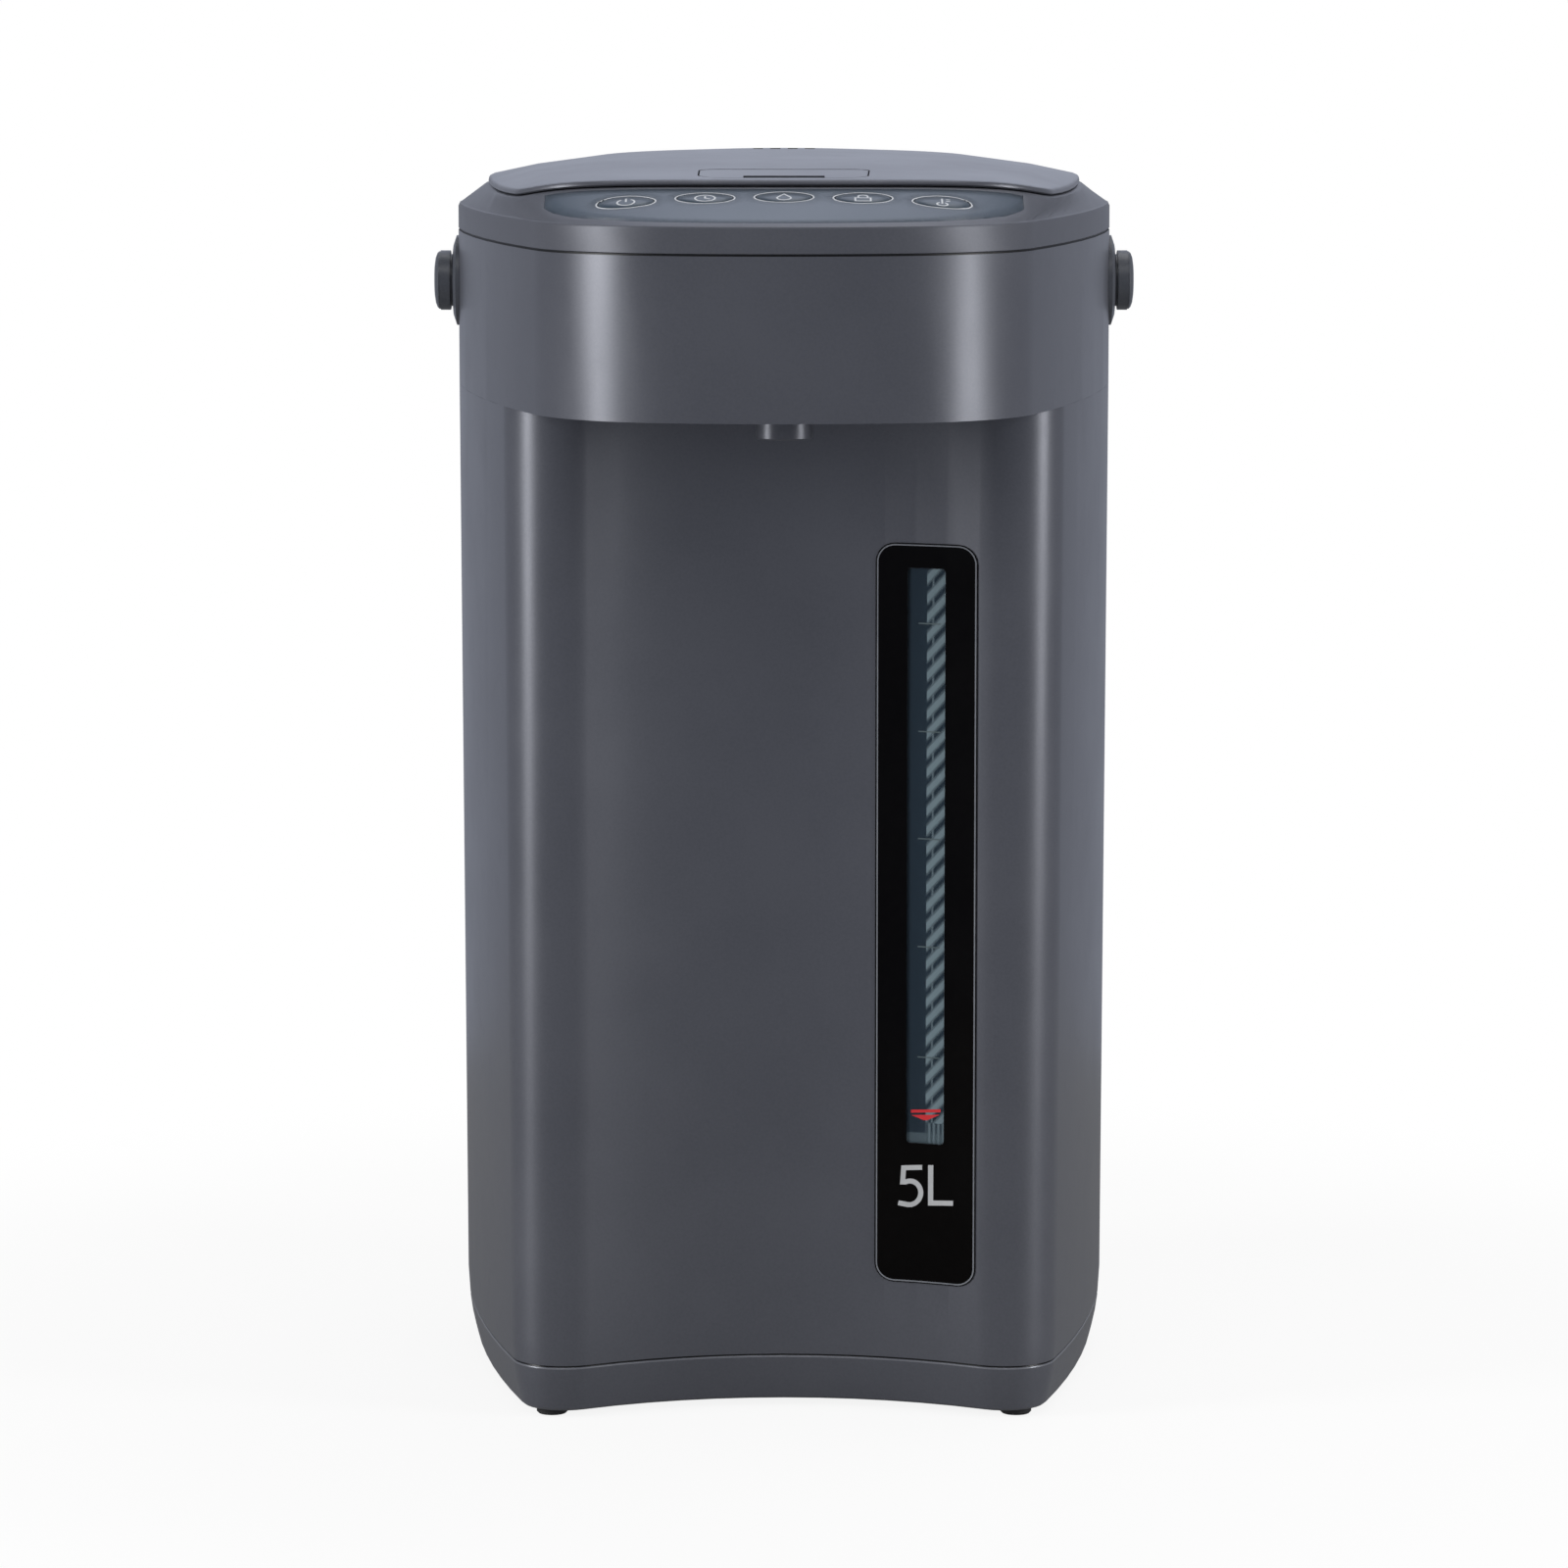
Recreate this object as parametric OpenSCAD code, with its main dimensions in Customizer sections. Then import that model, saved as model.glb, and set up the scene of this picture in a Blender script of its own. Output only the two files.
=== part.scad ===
// Electric thermo pot, 5 litres: a pot with a heater and a pump in a hollow-fronted body, a control
// deck and a nozzle in the head, a hinged lid with a lever latch and a carry handle.
// Millimetres, +Z up, the front faces -Y. The origin lies on the floor under the middle of the whole.

/* [Body outline] */
// Radius of the round back, centred on the pot's axis
back_r = 105; // [104:0.5:110]
// Reach of the head in front of the pot's axis
head_reach = 186; // [180:1:192]
// Radius of the head's front face
head_front_r = 160; // [140:5:220]
// Radius of the head's front corners
head_corner_r = 54; // [48:1:58]
// Distance of the head's corner centres from the middle
head_corner_x = 24; // [18:0.5:28]
// Radius of the long side faces
side_r = 600; // [500:10:700]
// Reach of the two toes in front of the pot's axis
toe_reach = 124; // [121:0.5:128]
// Radius of the toes
toe_r = 18; // [15:0.5:20]
// Radius of the hollow front face between the toes
hollow_r = 122; // [115:1:140]
// Thickness of the moulded walls
wall = 2.4; // [2:0.1:2.8]
// How much narrower each side is at the foot of the body
draft = 1.6; // [0.8:0.1:2]

/* [Heights] */
// Height of the feet
foot_h = 2.4; // [2:0.1:4]
// Seam between the base and the body
base_seam_z = 17.2; // [15:0.2:20]
// Underside of the head
head_z = 315.3; // [308:0.5:318]
// Height of the head, from its underside to the top ring's seam
head_h = 49.4; // [47:0.1:51]
// Height of the top ring's upright band
ring_h = 8.9; // [8:0.1:10]
// Height of the lid's crest above the control deck's front edge
crown_h = 16.4; // [15:0.2:18]

/* [Pot] */
// Distance between the pot's inner face and the body's outer face
pot_gap = 8; // [7.5:0.5:11]
// How much the neck is drawn in from the pot's wall
neck_in = 7; // [6:0.5:8.5]
// Inside bottom of the pot
pot_floor_z = 79.5; // [79:0.5:84]
// Depth of the pot's rim below the top ring's seam
rim_drop = 19.7; // [19:0.1:24]
// Thickness of the steel sheet
pot_wall = 1; // [0.8:0.1:1.2]
// Width of the turned-out rim
rim_w = 6; // [5:0.5:6.5]
// Radius of the heater plate
heater_r = 58; // [45:1:62]
// Thickness of the heater plate
heater_t = 4; // [3:0.5:5]

/* [Lid] */
// Distance of the lid's round back from the body's outer face
lid_in = 10; // [9:0.5:12]
// Reach of the lid in front of the pot's axis
lid_reach = 140; // [136:1:144]
// Radius of the lid's front corners
lid_corner_r = 34; // [28:1:38]
// Distance of the lid's corner centres from the middle
lid_corner_x = 49; // [44:1:51]
// Thickness of the lid's rim
lid_edge = 1.8; // [1.4:0.1:2.4]
// Fall of the crown towards the sides and the back
side_drop = 8; // [6:0.5:9]
// Fall of the crown towards the front edge
front_drop = 4.6; // [3.5:0.1:5.5]
// Extra fall of the two front lobes
lobe_drop = 8.5; // [6:0.5:10]
// Gap between the lid and the deck
lid_gap = 0.4; // [0.3:0.1:0.8]

/* [Lever and vents] */
// Width of the lid lever
lever_w = 51.5; // [46:0.5:54]
// Distance of the lever's front edge from the lid's front edge
lever_set = 7; // [6:0.5:10]
// Depth of the lever from front to back
lever_d = 27; // [24:0.5:30]
// Width of the finger notch
notch_w = 24.6; // [22:0.2:28]
// Depth of the finger notch behind the lever's front edge
notch_d = 6; // [5:0.5:8]
// Number of steam slots
vent_count = 4; // [3:1:6]
// Distance between steam slots
vent_pitch = 5.6; // [5:0.1:6.5]
// Width of a steam slot
vent_w = 3.2; // [2:0.1:3.6]

/* [Control deck] */
// Width of a key
key_w = 16.6; // [14:0.2:18]
// Height of a key along the deck
key_h = 11; // [9:0.2:12]
// Distance between keys
key_pitch = 23.6; // [21:0.1:25]
// Distance of the middle key's centre from the lid's front edge
key_set = 12; // [10:0.5:16]
// How far the outermost keys stand forward of the middle one
key_bow = 3.4; // [0:0.2:5]
// Travel of a key
key_travel = 0.6; // [0.4:0.1:0.8]
// Slope of the deck at the keys
deck_tilt = 12; // [11:0.5:14]
// Half width of the glossy control panel
panel_x = 72; // [64:1:73]
// Thickness of the control panel
panel_t = 0.6; // [0.4:0.1:0.8]

/* [Level gauge] */
// Distance of the gauge from the middle
gauge_x = 43.8; // [40:0.2:46]
// Width of the gauge window
window_w = 31.2; // [28:0.2:33]
// Bottom of the gauge window
window_z = 41.5; // [38:0.5:50]
// Height of the gauge window
window_h = 231.8; // [220:0.5:240]
// Corner radius of the gauge window
window_r = 6; // [3:0.5:9]
// Width of the clear slot
slot_w = 11.5; // [10:0.1:13]
// Height of the clear slot's lower end above the window's
slot_below = 44.5; // [38:0.5:54]
// Distance of the clear slot's upper end from the window's
slot_above = 7.7; // [5:0.1:14]
// Radius of the sight tube
tube_r = 5; // [4:0.1:5.2]
// Radius of the sight tube's bore
tube_bore = 3.8; // [2.6:0.1:3.9]

/* [Spout] */
// Distance of the nozzle from the head's front face
nozzle_set = 39; // [34:0.5:44]
// Radius of the nozzle
nozzle_r = 8.7; // [7.5:0.1:10]
// Length of the nozzle below the head
nozzle_h = 7.3; // [5:0.1:10]
// Radius of the water's way through the spout
spout_bore = 3.5; // [3:0.1:3.8]

/* [Handle] */
// Depth of the handle's pivots below the top ring's seam
pivot_drop = 16.7; // [15:0.1:20]
// Radius of the pivot pins
pivot_r = 4; // [3:0.1:5]
// Radius of the handle's eyes
eye_r = 9.6; // [8.5:0.1:11]
// Distance of the handle's back from the body's round back
handle_set = 17; // [16:0.5:21]
// Thickness of the handle's arms
arm_t = 3.2; // [2.8:0.1:4]
// Height of the handle's arms
arm_h = 13; // [10:0.5:15]
// Thickness of the grip
grip_t = 7; // [6:0.5:7]

/* [Pump and base] */
// Distance of the pump from the middle
pump_x = 30; // [28:0.5:31]
// Reach of the pump in front of the pot's axis
pump_reach = 66; // [64:0.5:68]
// Radius of the pump's casing
pump_r = 20; // [18.5:0.5:21]
// Radius of the impeller
impeller_r = 14.5; // [12:0.5:15]
// Number of impeller vanes
vane_count = 6; // [4:1:8]
// Radius of the motor
motor_r = 14; // [11:0.5:15]
// Number of cooling slots in the base
base_slots = 9; // [5:1:11]

/* [Fits] */
// Radial clearance of pins and shafts
run_fit = 0.05; // [0.02:0.01:0.1]
// Gap round a part that moves in a cut-out
move_gap = 0.3; // [0.25:0.05:0.4]

/* [Hidden] */
$fn = 96;

slate = "#5e6168";
slate_dark = "#4a4c52";
steel = "#b9bdc0";
clear_blue = "#6d8793";

ring_seam_z = head_z + head_h;
deck_edge_z = ring_seam_z + ring_h;
lid_top_z = deck_edge_z + crown_h;
pot_rim_z = ring_seam_z - rim_drop;
pivot_z = ring_seam_z - pivot_drop;
pot_r = back_r - pot_gap;
neck_r = pot_r - neck_in;
lid_r = back_r - lid_in;
lever_front = lid_reach - lever_set;
key_reach = lid_reach + key_set;
nozzle_reach = head_reach - nozzle_set;
handle_reach = back_r + handle_set;
slot_z = window_z + slot_below;
slot_h = window_h - slot_below - slot_above;
axis_y = (head_reach - handle_reach) / 2;
skin = 0.01;
lid_top_wall = 2.2;
deck_wall = 2.2;

// ---- plan outlines -------------------------------------------------------------------------
// Every plan outline is a closed chain of touching arcs. Only the right half is worked out, from
// the middle of the front to the middle of the back; an inset changes the radii and keeps the
// centres, so two insets of one outline are parallel all round.

function unit(a) = [cos(a), sin(a)];
function ang(v) = atan2(v[1], v[0]);
function arc(c, r, a0, a1, n) = [for (i = [0:n - 1]) c + r * unit(a0 + (a1 - a0) * i / n)];
function mirrored(half) = concat(half, [for (i = [len(half) - 2:-1:1]) [-half[i][0], half[i][1]]]);

// Centre of the side arc that the back circle and a corner circle touch from inside.
function side_centre(c, r, back) =
    let(d1 = side_r - back, d2 = side_r - r, d = norm(c), a = (d1 * d1 - d2 * d2 + d * d) / (2 * d),
        h = sqrt(d1 * d1 - a * a))
    c * a / d - h * [-c[1], c[0]] / d;

// Half an outline: corner circle (c, r), front radius (negative for a hollow front), back radius
// and inset. The side arc has a knot at the angle "knot" if the corner circle leaves room for it.
function half_plan(c, r, front, back, inset, knot) =
    let(s = side_centre(c, r, back), hollow = front < 0, reach = abs(front) + (hollow ? r : -r),
        f = [0, c[1] + (hollow ? -1 : 1) * sqrt(reach * reach - c[0] * c[0])],
        turn = ang(c - f), a1 = ang(c - s), a2 = ang(-s))
    concat(
        hollow ? arc(f, -front + inset, 90, turn, 6) : arc(f, front - inset, -90, turn, 6),
        arc(c, r - inset, hollow ? turn - 180 : turn, a1, 9),
        knot > a1 + 0.5 ? concat(arc(s, side_r - inset, a1, knot, 2), arc(s, side_r - inset, knot, a2, 4))
            : arc(s, side_r - inset, a1, a2, knot == a1 ? 4 : 6),
        arc([0, 0], back - inset, a2, 90, 13), [[0, back - inset]]);

head_corner = [head_corner_x, -head_reach + head_front_r
    - sqrt(pow(head_front_r - head_corner_r, 2) - pow(head_corner_x, 2))];
side_mid = side_centre(head_corner, head_corner_r, back_r);
toe_y = -toe_reach + toe_r;
toe = [side_mid[0] + sqrt(pow(side_r - toe_r, 2) - pow(toe_y - side_mid[1], 2)), toe_y];
toe_angle = ang(toe - side_mid);
lid_front_r = 2000;
lid_corner = [lid_corner_x, lid_corner_r - lid_reach
    + (lid_front_r - lid_corner_r) - sqrt(pow(lid_front_r - lid_corner_r, 2) - pow(lid_corner_x, 2))];
function head_plan(inset) =
    mirrored(half_plan(head_corner, head_corner_r, head_front_r, back_r, inset, toe_angle));
function body_plan(inset) = mirrored(half_plan(toe, toe_r, -hollow_r, back_r, inset, toe_angle));
function lid_plan(inset) =
    mirrored(half_plan(lid_corner, lid_corner_r, lid_front_r, lid_r, inset, -90));

// y of the hollow front face over x, at an inset
hollow_y = toe[1] - sqrt(pow(hollow_r + toe_r, 2) - pow(toe[0], 2));
function face_y(x, inset = 0) = hollow_y + sqrt(pow(hollow_r + inset, 2) - x * x);

// ---- solids from outlines ------------------------------------------------------------------

function flat(pts, z) = [for (p = pts) [p[0], p[1], z]];

// A closed solid through rings of equal length, bottom first, closed by fans to two points.
module loft(rings, low, high) {
    n = len(rings[0]);
    m = len(rings);
    polyhedron(points = concat([for (r = rings) each r], [low, high]), convexity = 6, faces = concat(
        [for (i = [0:n - 1]) [n * m, i, (i + 1) % n]],
        [for (j = [0:m - 2], i = [0:n - 1]) let(a = j * n + i, b = j * n + (i + 1) % n)
            each [[a, a + n, b + n], [a, b + n, b]]],
        [for (i = [0:n - 1]) [n * m + 1, n * (m - 1) + (i + 1) % n, n * (m - 1) + i]]));
}

module prism(pts, z0, z1) { translate([0, 0, z0]) linear_extrude(z1 - z0) polygon(pts); }

module placed() { translate([0, axis_y, 0]) children(); }

// A tube along +Z.
module tube(r_out, r_in, z0, z1) {
    translate([0, 0, z0]) difference() {
        cylinder(r = r_out, h = z1 - z0);
        translate([0, 0, -1]) cylinder(r = r_in, h = z1 - z0 + 2);
    }
}

// A cylinder along +X, from x0 to x1.
module rod_x(r, x0, x1, y, z) { translate([x0, y, z]) rotate([0, 90, 0]) cylinder(r = r, h = x1 - x0); }

// A box between two corners.
module block(a, b) { translate(a) cube(b - a); }

// A rounded upright rectangle, extruded along y from y0 to y1.
module window_prism(x, z, w, h, r, y0, y1) {
    translate([x, y1, z]) rotate([90, 0, 0]) linear_extrude(y1 - y0) polygon(concat(
        arc([w / 2 - r, h - r], r, 0, 90, 6), [[w / 2 - r, h]],
        arc([-w / 2 + r, h - r], r, 90, 180, 6), [[-w / 2, h - r]],
        arc([-w / 2 + r, r], r, 180, 270, 6), [[-w / 2 + r, 0]],
        arc([w / 2 - r, r], r, 270, 360, 6), [[w / 2, r]]));
}

// ---- body ----------------------------------------------------------------------------------

shell_low = base_seam_z + 8.8;
seam_gap = 0.4;
inner_back = back_r - wall;

module body_loft(inset, z0, z1) {
    loft([flat(body_plan(inset + draft), z0), flat(body_plan(inset + draft * 0.65), shell_low),
        flat(body_plan(inset), z1)], [0, 0, z0], [0, 0, z1]);
}

inlet_z = 40;
inlet_w = 31;
inlet_h = 25;
boss_pts = [for (p = [[back_r - 23, -58], (back_r - 14.5) * unit(45)], s = [1, -1]) [s * p[0], p[1]]];
boss_r = 5.4;

module outer_shell() {
    color(slate) placed() difference() {
        union() {
            body_loft(0, base_seam_z, head_z);
            prism(head_plan(0), head_z, ring_seam_z);
        }
        difference() {
            body_loft(wall, base_seam_z - skin, head_z);
            for (p = boss_pts) translate([p[0], p[1], base_seam_z - 1]) {
                cylinder(r = boss_r, h = 24);
                rotate(ang(p)) translate([0, -1, lip_h + 1.4]) cube([22, 2, 20]);
            }
        }
        prism(body_plan(wall), head_z - skin, head_z + wall + skin);
        prism(head_plan(wall), head_z + wall, ring_seam_z + 1);
        for (p = boss_pts) translate([p[0], p[1], base_seam_z - 1]) cylinder(r = 1.5, h = 16);
        window_prism(gauge_x, window_z, window_w, window_h, window_r, -toe_reach - 5, -pot_r + 2);
        translate([0, -nozzle_reach, head_z - 1]) cylinder(r = nozzle_r - wall, h = wall + 2);
        block([-inlet_w / 2, inner_back - 8, inlet_z - inlet_h / 2],
            [inlet_w / 2, back_r + 2, inlet_z + inlet_h / 2]);
        for (s = [-1, 1]) rod_x(pivot_r, s > 0 ? inner_back - 2 : -back_r - 2,
            s > 0 ? back_r + 2 : 2 - inner_back, 0, pivot_z);
    }
}

module base_cover() {
    floor_t = 2.4;
    color(slate_dark) placed() difference() {
        loft([flat(body_plan(draft + 3.6), foot_h), flat(body_plan(draft + 2.6), foot_h + 0.8),
            flat(body_plan(draft + 1.8), foot_h + 4), flat(body_plan(draft + 0.8), foot_h + 8.6),
            flat(body_plan(draft), base_seam_z - seam_gap - 0.3),
            flat(body_plan(draft + seam_gap), base_seam_z - seam_gap),
            flat(body_plan(draft + seam_gap), base_seam_z), flat(body_plan(draft + wall + 0.3), base_seam_z),
            flat(body_plan(draft + wall + 0.3), base_seam_z + lip_h)],
            [1, -7, foot_h], [1, -7, base_seam_z + lip_h]);
        difference() {
            prism(body_plan(draft + 5.2), foot_h + floor_t, base_seam_z + lip_h + 1);
            for (p = boss_pts) translate([p[0], p[1], foot_h]) cylinder(r = boss_r, h = base_seam_z - foot_h);
            for (p = rod_pts) translate([p[0], p[1], foot_h]) cylinder(r = 5, h = rod_foot_z - foot_h);
        }
        for (p = boss_pts) translate([p[0], p[1], base_seam_z]) cylinder(r = boss_r + 0.4, h = lip_h + 1);
        for (p = rod_pts) translate([p[0], p[1], 0]) cylinder(r = rod_r, h = 30);
        for (p = boss_pts) translate([p[0], p[1], 0]) {
            cylinder(r = 1.8, h = base_seam_z + 1);
            cylinder(r = 3.6, h = foot_h + 2.6);
        }
        for (p = foot_pts) translate([p[0], p[1], 0]) cylinder(r = foot_r - 1.4, h = foot_h + floor_t + 1);
        for (i = [0:base_slots - 1]) translate([(i - (base_slots - 1) / 2) * 7.6 - 1.6, -18, 0])
            cube([3.2, 56, foot_h + floor_t + 1]);
    }
}

foot_pts = [[72.5, -110.5], [-72.5, -110.5], [46, 76], [-46, 76]];
foot_r = 4.9;
lip_h = 2.6;
rod_pts = [[0, back_r - 35], [39 - back_r, -24], [back_r - 37, -18]];
rod_r = 2;
rod_foot_z = 13;

module rubber_feet() {
    color("#222326") placed() for (p = foot_pts) translate([p[0], p[1], 0]) {
        cylinder(r1 = foot_r - 0.6, r2 = foot_r, h = 0.6);
        translate([0, 0, 0.6]) cylinder(r = foot_r, h = foot_h - 0.6);
        translate([0, 0, foot_h]) cylinder(r = foot_r - 1.4, h = 2.4);
        translate([0, 0, foot_h + 2.4]) cylinder(r = foot_r - 0.9, h = 1.2);
    }
}

module base_screws() {
    color(steel) placed() for (p = boss_pts) translate([p[0], p[1], 0]) {
        translate([0, 0, foot_h + 0.6]) difference() {
            cylinder(r = 3.2, h = 2);
            for (a = [0, 90]) rotate(a) translate([-2, -0.4, -1]) cube([4, 0.8, 2]);
        }
        translate([0, 0, foot_h + 2.6]) cylinder(r = 1.5, h = 22);
    }
}

// ---- pot and heater ------------------------------------------------------------------------

outlet = [pump_x, -pump_reach];
pot_base_z = pot_floor_z - pot_wall;
spigot_r = 5;
spigot_bore = 3.8;
spigot_z = pot_floor_z - 13.5;
knuckle = 12;

// The pot's sheet metal in section, inside or outside.
function pot_line(t) = concat([[0, pot_floor_z - t]],
    arc([pot_r - knuckle, pot_floor_z + knuckle], knuckle + t, -90, 0, 6),
    [[pot_r + t, pot_floor_z + knuckle], [pot_r + t, pot_rim_z - 15], [neck_r + t, pot_rim_z - 5]]);

module inner_pot() {
    out = pot_line(pot_wall);
    in = pot_line(0);
    color(steel) placed() difference() {
        union() {
            rotate_extrude() polygon(concat(out,
                [[neck_r + pot_wall, pot_rim_z - pot_wall], [neck_r + rim_w, pot_rim_z - pot_wall],
                [neck_r + rim_w, pot_rim_z], [neck_r, pot_rim_z]],
                [for (i = [len(in) - 1:-1:0]) in[i]]));
            translate([outlet[0], outlet[1], spigot_z])
                cylinder(r = spigot_r, h = pot_floor_z - spigot_z - skin);
        }
        translate([outlet[0], outlet[1], spigot_z - 1]) cylinder(r = spigot_bore, h = 20);
    }
}

module pot_seal() {
    color("#d9d9d4") placed() rotate_extrude() polygon([[well_r + 0.3, pot_rim_z],
        [neck_r + rim_w + 1.2, pot_rim_z], [neck_r + rim_w + 1.2, well_z], [well_r + 0.3, well_z]]);
}

module tie_rods() {
    color(steel) placed() for (p = rod_pts) translate([p[0], p[1], 0]) {
        translate([0, 0, foot_h + 3]) cylinder(r = rod_r, h = pot_base_z - foot_h - 3);
        translate([0, 0, rod_foot_z]) cylinder(r = 4, h = 3.2, $fn = 6);
    }
}

module insulation_wrap() {
    color("#c9c4b8") placed()
        tube(pot_r + pot_wall + 2, pot_r + pot_wall, pot_floor_z + 16.5, pot_rim_z - 18);
}

heater_z = pot_base_z - heater_t;

module heater_plate() {
    color("#c2c4c6") placed() union() {
        translate([0, 0, heater_z]) cylinder(r = heater_r, h = heater_t);
        rotate_extrude() translate([heater_r - 14, heater_z]) circle(r = 2.6, $fn = 32);
        for (s = [-1, 1]) translate([s * 6, heater_r - 15, heater_z - 5]) cylinder(r = 2, h = 6);
    }
}

shield_z = heater_z - 6.5;
shield_r = pot_r - knuckle - 2;

module heat_shield() {
    color("#a9adaf") placed() difference() {
        union() {
            translate([0, 0, shield_z]) cylinder(r = shield_r, h = 1);
            tube(shield_r, shield_r - 1, shield_z, pot_base_z);
        }
        translate([outlet[0], outlet[1], shield_z - 1]) cylinder(r = spigot_r + 3.2, h = 3);
        for (s = [-1, 1]) translate([s * 6, heater_r - 15, shield_z - 1]) cylinder(r = 3.4, h = 3);
        for (p = rod_pts) translate([p[0], p[1], shield_z - 1]) cylinder(r = rod_r + 0.6, h = 3);
    }
}

module thermostat() {
    color("#3a3a3c") placed() translate([-14, 0, shield_z + 1]) union() {
        cylinder(r = 8, h = 4);
        translate([0, 0, 4]) cylinder(r = 6, h = heater_z - shield_z - 5);
        for (s = [-1, 1]) translate([s * 8 - 2, -2.5, 0.6]) cube([4, 5, 0.8]);
    }
}

module thermal_fuse() {
    color("#d8d2c2") placed() union() {
        rod_x(2.7, 8, 24, 6, shield_z + 1 + 2.7);
        for (x = [5, 24]) rod_x(0.6, x, x + 3, 6, shield_z + 1 + 2.7);
        translate([13, 1.6, shield_z + 1]) cube([6, 8.8, 0.6]);
        for (y = [1.6, 8.8]) translate([13, y, shield_z + 1]) cube([6, 1.6, heater_z - shield_z - 1]);
    }
}

// ---- pump ----------------------------------------------------------------------------------

pump_z = 36;
pump_floor = 2.4;
chamber_h = 9;
pump_top = pump_z + pump_floor + chamber_h + 2.6;
sleeve_z0 = spigot_z - 9;
port_z = pump_z + pump_floor + chamber_h / 2;
port_r = 5;
tube_y = -99.6;
tube_z0 = 62;
tube_z1 = slot_z + slot_h + 19.4;

module at_pump() { placed() translate([outlet[0], outlet[1], 0]) children(); }

module pump_inlet_sleeve() {
    color("#dfe3e2") at_pump() tube(spigot_r + 3, spigot_r, sleeve_z0, spigot_z + 6);
}

module pump_casing() {
    color("#2f3032") at_pump() difference() {
        union() {
            translate([0, 0, pump_z]) cylinder(r = pump_r + 4, h = pump_floor);
            translate([0, 0, pump_z]) cylinder(r = pump_r, h = pump_top - pump_z);
            translate([0, 0, pump_top]) cylinder(r = spigot_r, h = spigot_z - 2 - pump_top);
            translate([gauge_x - outlet[0], 0, port_z]) rotate([90, 0, 0]) cylinder(r = port_r, h = 29);
        }
        translate([0, 0, pump_z + pump_floor]) tube(impeller_r + 1.5, axle_r, 0, chamber_h);
        translate([0, 0, pump_z + pump_floor + 6]) cylinder(r = 6, h = chamber_h - 6);
        translate([0, 0, pump_top - 5]) cylinder(r = spigot_bore, h = 30);
        translate([gauge_x - outlet[0], -6, port_z]) rotate([90, 0, 0]) cylinder(r = 3.4, h = 30);
    }
}

axle_r = 1.5;

module pump_impeller() {
    z = pump_z + pump_floor + 0.4;
    color("#e6e4da") at_pump() difference() {
        union() {
            translate([0, 0, z]) cylinder(r = impeller_r, h = 2.6);
            translate([0, 0, z]) cylinder(r = 4, h = 5);
            for (i = [0:vane_count - 1]) rotate(i * 360 / vane_count)
                translate([3, -0.6, z + 2]) cube([impeller_r - 3.6, 1.2, 5.2]);
        }
        translate([0, 0, z - 1]) cylinder(r = axle_r + run_fit, h = 10);
    }
}

deck_plate_z = 29.5;

module pump_motor() {
    color("#9ea2a5") at_pump() difference() {
        union() {
            translate([0, 0, 9]) cylinder(r = motor_r, h = deck_plate_z - 9);
            translate([0, 0, 7]) cylinder(r = 4, h = 2);
        }
        translate([0, 0, 12]) cylinder(r = 1.5 + run_fit, h = 30);
    }
}

module motor_rotor() {
    color("#505357") at_pump() union() {
        translate([0, 0, 13]) cylinder(r = 1.5, h = 20);
        translate([0, 0, 31.8]) cylinder(r = 11, h = 3.6);
    }
}

module motor_bracket() {
    floor_z = foot_h + 2.4;
    color("#3b3d40") at_pump() difference() {
        union() {
            tube(pump_r + 4, pump_r + 1.6, floor_z, pump_z);
            translate([0, 0, deck_plate_z]) cylinder(r = pump_r + 2, h = 1.6);
        }
        translate([0, 0, deck_plate_z - 1]) cylinder(r = 3, h = 4);
        for (a = [45:90:315]) rotate(a) translate([pump_r - 4, -7, floor_z + 6]) cube([12, 14, 14]);
    }
}

module pump_outlet_elbow() {
    back_y = outlet[1] - 24;
    color("#dfe3e2") placed() translate([gauge_x, 0, 0]) difference() {
        union() {
            translate([0, back_y, port_z]) rotate([90, 0, 0]) cylinder(r = 7, h = back_y - tube_y);
            translate([0, tube_y, port_z]) sphere(r = 7);
            translate([0, tube_y, port_z]) cylinder(r = 7, h = tube_z0 + 7 - port_z);
        }
        translate([0, back_y + 1, port_z]) rotate([90, 0, 0]) cylinder(r = port_r, h = 1 + 5 + skin);
        translate([0, back_y, port_z]) rotate([90, 0, 0]) cylinder(r = 3.6, h = back_y - tube_y);
        translate([0, tube_y, port_z]) cylinder(r = 3.6, h = 30);
        translate([0, tube_y, tube_z0]) cylinder(r = tube_r, h = 10);
    }
}

// ---- level gauge ---------------------------------------------------------------------------

module sight_tube() {
    color("#b5cdd6", 0.5) placed() translate([gauge_x, tube_y, 0]) tube(tube_r, tube_bore, tube_z0, tube_z1);
}

module tube_seals() {
    color("#38393b") placed() translate([gauge_x, tube_y, 0])
        for (z = [slot_z - 10, slot_z + slot_h + 5]) tube(tube_r + 1.6, tube_r, z, z + 4);
}

// The body's wall between two insets.
module face_band(inset0, inset1) {
    difference() {
        body_loft(inset0, base_seam_z, head_z);
        body_loft(inset1, base_seam_z - 1, head_z + 1);
    }
}

frame_w = 2.4;
proud = 0.3;

module front_window(x, z, w, h, r) { window_prism(x, z, w, h, r, -toe_reach - 5, -pot_r + 2); }

module gauge_window() {
    color("#0a0708") placed() difference() {
        union() {
            intersection() {
                face_band(-proud, wall);
                front_window(gauge_x, window_z + 0.1, window_w - 0.2, window_h - 0.2, window_r - 0.1);
            }
            intersection() {
                face_band(wall, wall + 1.4);
                front_window(gauge_x, window_z - frame_w, window_w + 2 * frame_w,
                    window_h + 2 * frame_w, window_r);
            }
        }
        front_window(gauge_x, slot_z, slot_w, slot_h, 1.2);
    }
}

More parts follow.
